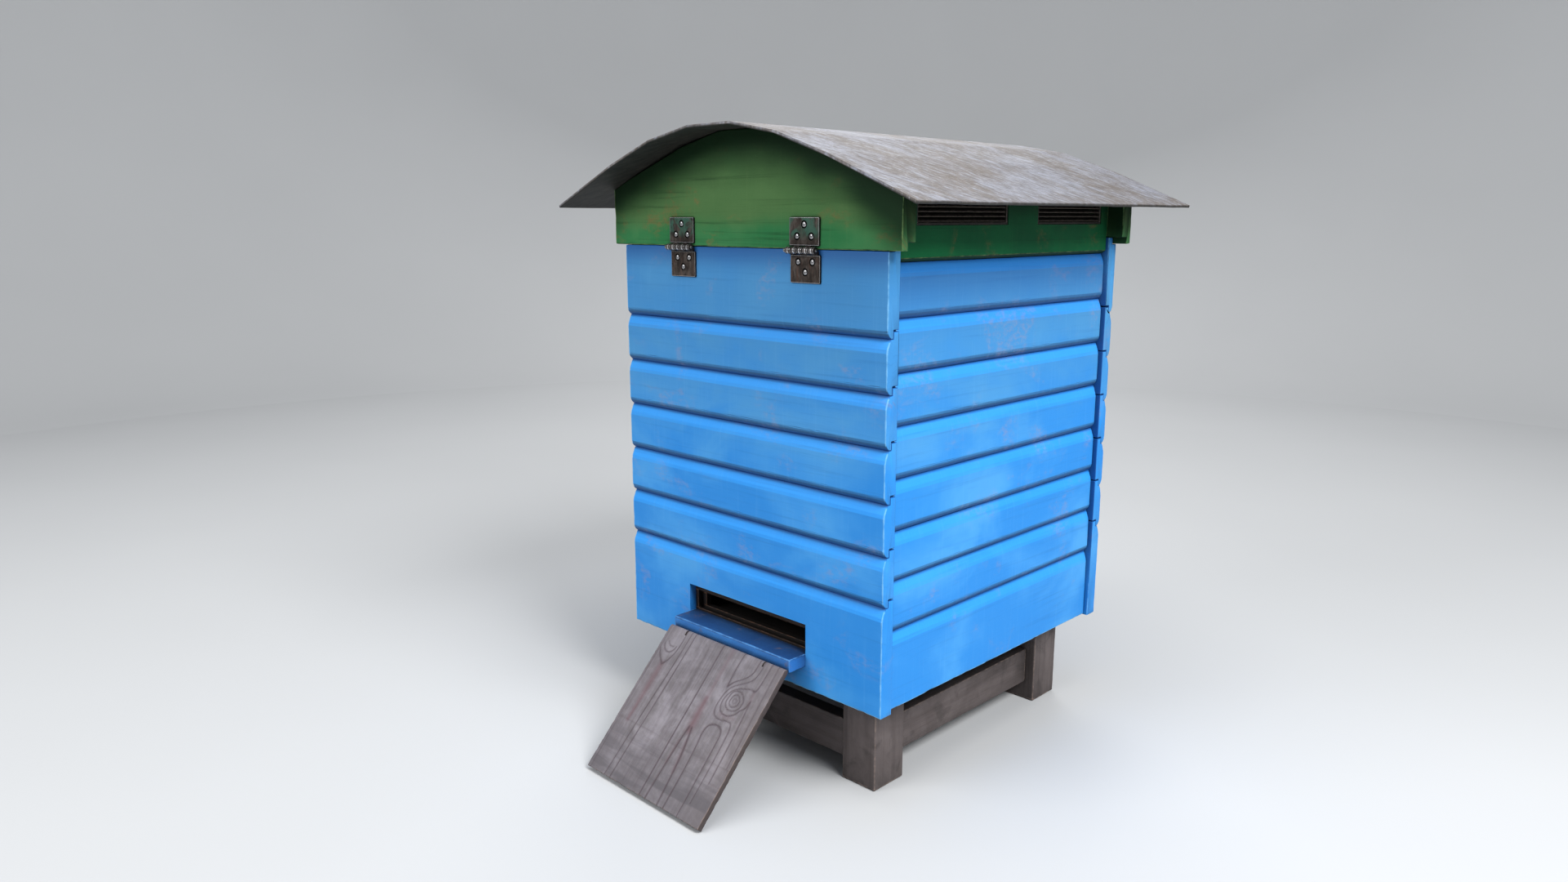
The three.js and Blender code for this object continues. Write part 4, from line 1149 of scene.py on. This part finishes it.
def smooth_curve(rows):
    """Catmull-Rom points about every 0.7 mm."""
    rows = np.array(rows, float)
    rows = np.vstack([2 * rows[0] - rows[1], rows, 2 * rows[-1] - rows[-2]])
    curve = []
    for i in range(1, len(rows) - 2):
        before, start, end, after = rows[i - 1:i + 3]
        count = max(2, int(np.linalg.norm(end[:2] - start[:2]) / 0.7))
        for t in np.linspace(0, 1, count, endpoint=False):
            curve.append(0.5 * (2 * start + (end - before) * t
                                + (2 * before - 5 * start + 4 * end - after) * t * t
                                + (3 * start - before - 3 * end + after) * t ** 3))
    curve.append(rows[-2])
    return np.array(curve)


def curve_field(curves, across, down):
    """How dark the curves make each point, 0 to 1."""
    field = np.zeros(len(across))
    for amount, rows in curves:
        curve = smooth_curve(rows)
        reach = curve[:, 2].max() * 3.5
        low, high = curve.min(0) - reach, curve.max(0) + reach
        near = np.where((across > low[0]) & (across < high[0])
                        & (down > low[1]) & (down < high[1]))[0]
        # in blocks, to limit memory
        for k in range(0, len(near), 4000):
            i = near[k:k + 4000]
            distance = np.hypot(across[i][:, None] - curve[None, :, 0],
                                down[i][:, None] - curve[None, :, 1])
            distance /= np.maximum(curve[None, :, 2], 0.3) * 1.12
            dark = amount * np.exp(-np.min(distance, axis=1) ** 2)
            field[i] = np.maximum(field[i], dark)
    return field


def ramp_outline():
    """Cross-section as (across, rise, wear), its upper face divided finer than its lower."""
    half, width = RAMP_HALF, RAMP_WIDTH
    rounded = round_corners([(0, -half, 1.3, 1, 0), (width, -half, 1.3, 1, 0),
                             (width, half, 1.3, 1, 0), (0, half, 1.3, 1, 0)], 3)
    outline = []
    for i, point in enumerate(rounded):
        outline.append(point[:3])
        after = rounded[(i + 1) % len(rounded)]
        span = after[0] - point[0]
        if min(abs(point[1]), abs(after[1])) > half - 0.01 and abs(span) > 50:
            count = 216 if point[1] > 0 else 72
            for k in range(1, count):
                part = k / count
                near = min(part, 1 - part) * abs(span)
                outline.append((point[0] + span * part, point[1], max(0.0, 1 - near / 1.8)))
    return outline


def ramp_stations():
    """(distance down, thickness factor): round nose at the hinge, flat, eased lower end."""
    nose = [math.pi / 2 * k / 8 for k in range(9)]
    tail = [math.pi / 2 * k / 3 for k in range(4)]
    return ([(-RAMP_HALF * math.cos(turn), max(0.10, math.sin(turn))) for turn in nose]
            + [(float(down), 1.0) for down in np.linspace(0, RAMP_LENGTH, 139)[1:-1]]
            + [(RAMP_LENGTH - 1.1 + 1.1 * math.sin(turn), 1 - (1 - math.cos(turn)) * 0.24)
               for turn in tail])


def ramp_notches():
    """Two slots at the hinge end, made in the plank's own axes, then laid on its slope."""
    cutters = []
    for side in (-1, 1):
        cutter = cutter_box(side * 75 - 1.34, side * 75 + 1.34, -4.2, 12, -8, 8)
        for vertex in cutter.data.vertices:
            x, y, z = to_body(vertex.co)
            vertex.co = Vector(to_metres(x, ROD_Y - DOWN[0] * y + OUT[0] * z,
                                         ROD_Z - DOWN[1] * y + OUT[1] * z))
        cutters.append(cutter)
    return cutters


def build_ramp():
    """The plank, with the grain lines cut into it."""
    outline, stations = ramp_outline(), ramp_stations()
    across, rise, rim = np.tile(np.array(outline), (len(stations), 1)).T
    down, swell = np.repeat(np.array(stations), len(outline), axis=0).T
    upper = rise > 0
    face_across = np.where(upper, across, RAMP_WIDTH - across)
    face_down = np.where(upper, np.maximum(down, 0), RAMP_LENGTH - np.maximum(down, 0))
    line = curve_field(GRAIN, face_across, face_down)
    stain = curve_field(STAIN, face_across, face_down)
    verts, grain, wears = [], [], []
    for i, (x, height, side_wear, far) in enumerate(zip(across, rise, rim, down)):
        low_end = max(0.0, 1 - (RAMP_LENGTH - far) / 2.6)
        high_end = max(0.0, 1 - abs(far + 1.0) / 5.0) * 0.4
        wear = max(side_wear, low_end, high_end)
        swells = mn.noise(Vector((x * 0.11, far * 0.012, 3.0 if upper[i] else 9.0)))
        cut = 0.30 * line[i] + 0.25 * (0.5 + swells)
        if wear > 0.25:
            bite = mn.noise(Vector((x * 0.17, far * 0.17, height * 0.3 + 4)))
            cut += 1.4 * max(0.0, bite - 0.12) * min(1.0, wear)
        thick = abs(height) * swell[i] - cut * min(1.0, abs(height) / RAMP_HALF)
        out = math.copysign(max(0.3, thick), height)
        shift = 0.0
        if side_wear > 0.3:
            bite = mn.noise(Vector((3.3, far * 0.12, 5.0 + (1 if x > 50 else 0))))
            inwards = -1 if x > RAMP_WIDTH / 2 else 1
            shift = max(0.0, bite - 0.08) * 1.1 * inwards * min(1.0, side_wear)
        verts.append(to_metres(RAMP_BOX.x0 + x + shift, ROD_Y + DOWN[0] * far + OUT[0] * out,
                               ROD_Z + DOWN[1] * far + OUT[1] * out))
        grain.append((face_across[i] * MM + (0.0 if upper[i] else 0.5), face_down[i] * MM,
                      stain[i]))
        wears.append(wear)
    plank = Shells()
    plank.add(verts, tube_faces(len(stations), len(outline)), grain, wears, list(line))
    plank.make("ramp_plank", RAMP, "ramp", "ramp_wood", "landing_ramp", sharp=50.0,
               cutters=ramp_notches(), cut_sharp=50.0)


build_ramp()

# ------------------------------------------------------------------ inside pieces
for i, corner_name in enumerate(CORNERS):
    build_bar(f"post_{corner_name}", f"corner_post_{corner_name}", PINE, "bare_pine",
              along="z", seed=240 + i * 3.1)
build_bar("floor_panel", "floor_board", FLOOR_IN_SHADE, "bare_pine", seed=255, step=40.0)


def build_frame(number, seed):
    """A hanging frame: top bar with ears, two-part end bars, bottom bar, and its comb."""
    node = f"frame_{number:02d}"
    box = node_box(node)
    x, y = (box.x0 + box.x1) / 2, (box.y0 + box.y1) / 2
    top, bottom = box.z1, box.z0
    wood = Shells()
    wood.bar(x - 13.5, x + 13.5, y - 224, y + 224, top - 19, top, 1.0, "y", seed, 40)
    for side in (-1, 1):
        y0, y1 = sorted((y + side * 220, y + side * 240.5))
        wood.bar(x - 13.5, x + 13.5, y0, y1, top - 10, top - 0.02, 1.2, "y", seed + 1, 40)
        y0, y1 = sorted((y + side * 214.5, y + side * 224))
        wood.bar(x - 17.3, x + 17.3, y0, y1, 420, top - 11, 1.0, "z", seed + 2, 60)
        wood.bar(x - 14, x + 14, y0 + 0.05, y1 - 0.05, bottom, 421, 1.0, "z", seed + 3, 60)
    wood.bar(x - 9.5, x + 9.5, y - 222, y + 222, bottom, bottom + 9.5, 1.0, "y", seed + 4, 60)
    wood.make(f"frame_wood_{number:02d}", PINE, "hive_body", "frame_pine", node)
    comb = Shells()
    outline = refine(round_corners([(-10, bottom + 9.2, 4, 0, 0), (10, bottom + 9.2, 4, 0, 0),
                                    (10, top - 18.7, 3, 0, 0), (-10, top - 18.7, 3, 0, 0)], 3),
                     22.0)
    comb.loft([(point[0] + x, *point[1:]) for point in outline],
              spaced(y - 214.3, y + 214.3, 22.0), lambda y, x, z: (x, y, z), seed + 5,
              end_radius=2.0, wave=1.2)
    comb.make(f"frame_comb_{number:02d}", WAX, "hive_body", "frame_pine")


def build_crown():
    """The crown board: a rim of four bars on a thin panel with a long round-ended slot."""
    box = node_box("crown_board")
    rim_width, worn = 20, dict(radius=0.9, step=12, wave=0.2, chip=0.5)
    rim = Shells()
    for side in (-1, 1):
        rim.bar(*mirrored(side, box.x1, box.x1 - rim_width), box.y0, box.y1, box.z0 + 5.9,
                box.z1, along="y", seed=312 + side, **worn)
    for y0, y1 in ((box.y0, box.y0 + rim_width), (box.y1 - rim_width, box.y1)):
        rim.bar(box.x0 + 20.2, box.x1 - 20.2, y0, y1, box.z0 + 5.9, box.z1 - 0.1,
                along="x", seed=316 + y0 * 0.01, **worn)
    rim.make("crown_rim", PINE, "crown", "bare_pine")
    slot_y, slot_radius = 254.0, 15
    slot = []
    for x, start in ((25, -math.pi / 2), (-25, math.pi / 2)):
        for k in range(13):
            turn = start + math.pi * k / 12
            slot.append((x + slot_radius * math.cos(turn), slot_y + slot_radius * math.sin(turn)))
    verts = [to_metres(x, y, z) for z in (box.z0 - 10, box.z1 + 20) for x, y in slot]
    panel = Shells()
    panel.bar(box.x0, box.x1, box.y0, box.y1, box.z0, box.z0 + 5.8, radius=0.8, along="y",
              seed=310, step=12, wave=0.2)
    panel.make("crown_panel", PINE, "crown", "bare_pine", "crown_board",
               cutters=[new_object("tool", verts, prism_faces(len(slot)))])


for i in range(10):
    build_frame(i + 1, 260 + i * 4.3)
build_crown()

# ------------------------------------------------------------------ hinges
PIN = node_box("hinge_left_pin")
PIN_Y, PIN_Z = (PIN.y0 + PIN.y1) / 2, (PIN.z0 + PIN.z1) / 2
LEAF = 2.0          # leaf thickness
BODY_BACK = -0.1    # back of the body leaf
# screws: (x from the leaf's middle, z); web: its section (y, z), joining leaf and knuckles
LEAVES = {
    "body": dict(
        body="hive_body", back=BODY_BACK, paint=0.0, knuckles=(0, 2, 4), turn=0.4,
        screws=((-11.5, 537.8), (11.5, 537.8), (0, 525.8)),
        web=((-2.0, 545.2), (-0.15, 545.2), (-0.15, 549.6), (-1.6, 550.9), (-6.5, 550.9),
             (-6.9, 547.15), (-5.0, 546.9), (-3.2, 546.6), (-2.05, 545.9))),
    "roof": dict(
        body="roof", back=BODY_BACK - LEAF, paint=1.0, knuckles=(1, 3), turn=0.9,
        screws=((-11.5, 567.4), (11.5, 567.4), (0, 581.2)),
        web=((-2.15, 557.3), (-4.05, 557.3), (-4.2, 556.3), (-5.2, 555.4), (-6.6, 555.3),
             (-6.5, 551.5), (-2.4, 551.5), (-2.15, 552.4))),
}
# (radius, distance forward)
COUNTERSINK = ((0, 0.35), (3.7, 0.35), (4.75, 1.75), (4.9, 2.6), (0, 2.6))
SCREW_HEAD = ((0, -1.2), (1.6, -1.2), (1.6, -0.8), (2.6, -0.1), (3.15, 0.3), (3.3, 0.55),
              (3.15, 0.9), (2.7, 1.35), (2.0, 1.7), (1.1, 1.92), (0, 2.0))


def steel(shells, name="tool"):
    return shells.make(name, HINGE, None, "hinge_steel", cap_wear=0.0, cap_cavity=1.0)


def add_cylinder(shells, radius, segments, stations, seed=0, wear=0.0, end_radius=0):
    """A cylinder about the hinge pin's line."""
    turns = [2 * math.pi * k / segments for k in range(segments)]
    outline = [(radius * math.cos(turn), radius * math.sin(turn), wear, 0.0) for turn in turns]
    shells.loft(outline, stations, lambda x, y, z: (x, PIN_Y + y, PIN_Z + z), seed,
                end_radius=end_radius)


def plate(x0, x1, back, z0, z1, paint):
    """A rounded leaf with eased front edges, its back at y = back."""
    outline = refine(round_corners([(x0, z0, 1.6, 1, 0), (x1, z0, 1.6, 1, 0),
                                    (x1, z1, 1.6, 1, 0), (x0, z1, 1.6, 1, 0)]), 6.0)
    points = np.array([point[:2] for point in outline])
    normals = outward_normals(points)
    # sections: (forward, inset)
    sections = ((0.0, 0.15), (0.2, 0.0), (LEAF - 0.5, 0.0), (LEAF - 0.15, 0.15), (LEAF, 0.5),
                (LEAF, 1.5))
    verts, grain, wear, cavity = [], [], [], []
    for forward, inset in sections:
        for x, z in points - normals * inset:
            verts.append(to_metres(x, back - forward, z))
            grain.append((x * MM, z * MM, 0))
            wear.append(0.0 if inset > 0.9 else 1.0)
            cavity.append(paint * unit((z - z0) / (z1 - z0) * 1.6 - 0.3))
    leaf = Shells()
    leaf.add(verts, tube_faces(len(sections), len(points)), grain, wear, cavity)
    return leaf


def knuckle(x0, x1):
    """A barrel round the pin, with a painted highlight in a band round its middle and painted shade
    at its ends, both set by wear.
    """
    barrel = Shells()
    middle = (x0 + x1) / 2
    bands = [middle + offset for offset in (-1.9, -1.2, -0.6, 0.6, 1.2, 1.9)]
    add_cylinder(barrel, 4.25, 26, [x0, *bands, x1], seed=3.0, end_radius=0.7)
    for i, vert in enumerate(barrel.verts):
        offset = abs(vert[0] / MM - middle)
        if offset < 2:
            barrel.wear[i] = 0.72 * max(0.0, 1 - max(0.0, offset - 0.7) / 1.1)
        else:
            barrel.wear[i] = 1.0 if offset > (x1 - x0) / 2 - 0.8 else 0.0
    return barrel


def web(x0, x1, section):
    piece = Shells()
    count = len(section)
    piece.add([to_metres(x, y, z) for x in (x0, x1) for y, z in section], prism_faces(count),
              [(0, 0, 0)] * (2 * count), [0.0] * (2 * count), [0.0] * (2 * count))
    return piece


def build_screw(name, x, y, z, body, turn):
    """A domed screw head with a cross cut, turned by turn radians."""
    head = lathe(name, SCREW_HEAD, x, y, z, 26)
    head.data.materials.append(SCREW)
    cutters = []
    for k in range(2):
        cutter = cutter_box(-2.2, 2.2, 0, 3, -0.42, 0.42)
        angle = turn + k * math.pi / 2
        cos, sin = math.cos(angle), math.sin(angle)
        for vertex in cutter.data.vertices:
            along, forward, up = to_body(vertex.co)
            vertex.co = Vector(to_metres(x + along * cos - up * sin, y - 1.05 - forward,
                                         z + along * sin + up * cos))
        cutters.append(cutter)
    boolean(head, cutters, sharp=28.0)
    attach(head, body)


def build_leaf(side, kind, x0, x1):
    leaf = LEAVES[kind]
    node = f"hinge_{side}_{kind}_leaf"
    box = node_box(node)
    z0, z1 = (box.z0, 545.9) if kind == "body" else (556.6, box.z1)
    made = steel(plate(x0, x1, leaf["back"], z0, z1, leaf["paint"]), f"hinge_{side}_{kind}_plate")
    middle = (x0 + x1) / 2
    boolean(made, [lathe("tool", COUNTERSINK, middle + x, leaf["back"], z, 28)
                   for x, z in leaf["screws"]], sharp=30.0)
    pitch = (x1 - x0 - 1) / 5
    parts = []
    for i in leaf["knuckles"]:
        start = x0 - 2 + pitch * i + 0.35
        end = x0 - 2 + pitch * (i + 1) - 0.35
        parts.append(steel(knuckle(start, end)))
        parts.append(steel(web(max(start, x0) + 0.4, end - 0.4, leaf["web"])))
    boolean(made, parts, "UNION", sharp=32.0)
    bore = Shells()
    add_cylinder(bore, 1.8, 24, [x0 - 20, x1 + 20])
    boolean(made, [steel(bore)], sharp=32.0)
    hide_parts(node)
    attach(made, leaf["body"])
    for j, (x, z) in enumerate(leaf["screws"]):
        build_screw(f"hinge_{side}_{kind}_screw_{j + 1}", middle + x, leaf["back"] - 1.2, z,
                    leaf["body"], leaf["turn"] + j * 1.1)


def build_pin(side):
    """The pin, with a wider head at its low-x end; its wear puts the hinge steel's painted
    highlight on the head.
    """
    box = node_box(f"hinge_{side}_pin")
    pin = Shells()
    add_cylinder(pin, 1.6, 20, [box.x0 + 1.2, (box.x0 + box.x1) / 2, box.x1], seed=3.0,
                 wear=0.4, end_radius=0.6)
    add_cylinder(pin, 2.7, 24, [box.x0 + 0.7, box.x0 + 1.3, box.x0 + 1.9], seed=5.0,
                 wear=0.6, end_radius=0.55)
    pin.make(f"hinge_{side}_pin_rod", HINGE, "hive_body", "hinge_steel", f"hinge_{side}_pin")


for side_name in ("left", "right"):
    leaf_box = node_box(f"hinge_{side_name}_roof_leaf")
    for kind_name in LEAVES:
        build_leaf(side_name, kind_name, leaf_box.x0, leaf_box.x1)
    build_pin(side_name)

# the ramp hinge's CAD rod and bracket stay, with eased edges
for node_name in ("ramp_hinge_rod", "ramp_hinge_bracket"):
    hinge_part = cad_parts[node_name]
    hinge_part.data.materials.clear()
    hinge_part.data.materials.append(HINGE)
    bevel = hinge_part.modifiers.new("ease", "BEVEL")
    bevel.width = 0.0003
    bevel.segments = 2
    bevel.limit_method = "ANGLE"
    bevel.angle_limit = math.radians(40)


# ------------------------------------------------------------------ stage, light, camera
def stage_material():
    """Grey, but clear when seen from below."""
    graph = Graph("studio_floor", (0.50, 0.51, 0.52))
    graph.coat((0.53, 0.54, 0.55),
               graph.noise(graph.coordinate(), scale=1.5, detail=2, rough=0.5))
    material = graph.finish(rough=0.75, specular=0.2)
    both = graph.node("MixShader", {0: graph.node("NewGeometry").outputs["Backfacing"],
                                    1: graph.surface.outputs[0],
                                    2: graph.node("BsdfTransparent").outputs[0]})
    graph.put(graph.output.inputs[0], both.outputs[0])
    return material


def build_stage():
    """A round floor, and a wall that curves up from it."""
    material = stage_material()
    floor_radius, cove, wall_top, segments = 3.4, 1.6, 7.0, 96
    turns = [math.pi / 2 * k / 16 for k in range(17)]
    backdrop = [(floor_radius + cove * math.sin(turn), cove - cove * math.cos(turn))
                for turn in turns] + [(floor_radius + cove, wall_top)]
    # rows: (radius, z)
    for name, rows in (("studio_floor", [(0.6, 0.0), (floor_radius, 0.0)]),
                       ("studio_backdrop", backdrop)):
        verts, faces = [], []
        for radius, z in rows:
            for k in range(segments):
                turn = 2 * math.pi * k / segments
                verts.append((radius * math.cos(turn), radius * math.sin(turn), z - 0.0005))
        for i in range(len(rows) - 1):
            low, high = i * segments, (i + 1) * segments
            for j in range(segments):
                k = (j + 1) % segments
                faces.append((low + j, high + j, high + k, low + k))
        if name == "studio_floor":
            faces.append(tuple(range(segments)))
        made = new_object(name, verts, faces)
        made.data.materials.append(material)
        for polygon in made.data.polygons:
            polygon.use_smooth = True
        if name == "studio_backdrop":
            # the wall closes the picture from every side without shading the hive
            made.visible_diffuse = False
            made.visible_glossy = False
            made.visible_shadow = False


def add_light(name, location, size, power):
    """A disk light aimed at the middle of the hive."""
    light = bpy.data.lights.new(name, "AREA")
    light.shape = "DISK"
    light.size = size
    light.energy = power
    lamp = bpy.data.objects.new(name, light)
    lamp.location = location
    aim = Vector((0, 0, 0.4)) - Vector(location)
    lamp.rotation_euler = aim.to_track_quat("-Z", "Y").to_euler()
    bpy.context.scene.collection.objects.link(lamp)


def add_camera():
    """The camera stands right of the front, looking slightly down."""
    azimuth, elevation = math.radians(44.61), math.radians(11.66)
    x, y, z = 0.99465, -0.93347 + FRONT, 0.58802 + BASE
    back = Vector((math.sin(azimuth) * math.cos(elevation),
                   -math.cos(azimuth) * math.cos(elevation), math.sin(elevation)))
    right = (-back).cross(Vector((0, 0, 1))).normalized()
    up = back.cross(right)
    lens = bpy.data.cameras.new("camera")
    lens.sensor_width = 36.0
    lens.lens = 24.7725
    lens.clip_start = 0.02
    camera = bpy.data.objects.new("camera", lens)
    camera.matrix_world = Matrix(((right.x, up.x, back.x, x), (right.y, up.y, back.y, y),
                                  (right.z, up.z, back.z, z), (0, 0, 0, 1)))
    bpy.context.scene.collection.objects.link(camera)
    bpy.context.scene.camera = camera


build_stage()
add_light("key_right", location=(2.8, -0.5, 2.9), size=1.8, power=172.0)
add_light("fill_front", location=(-1.2, -3.2, 2.4), size=2.2, power=72.0)
add_light("top", location=(0.5, -0.5, 3.6), size=1.8, power=44.0)
add_light("rear", location=(-2.4, 3.0, 2.6), size=2.6, power=60.0)

world = bpy.data.worlds.new("studio")
world.use_nodes = True
sky = world.node_tree.nodes["Background"]
sky.inputs["Color"].default_value = (0.93, 0.96, 1.0, 1)
sky.inputs["Strength"].default_value = 0.30
bpy.context.scene.world = world
bpy.context.scene.view_settings.view_transform = "Standard"
bpy.context.scene.view_settings.look = "None"
add_camera()
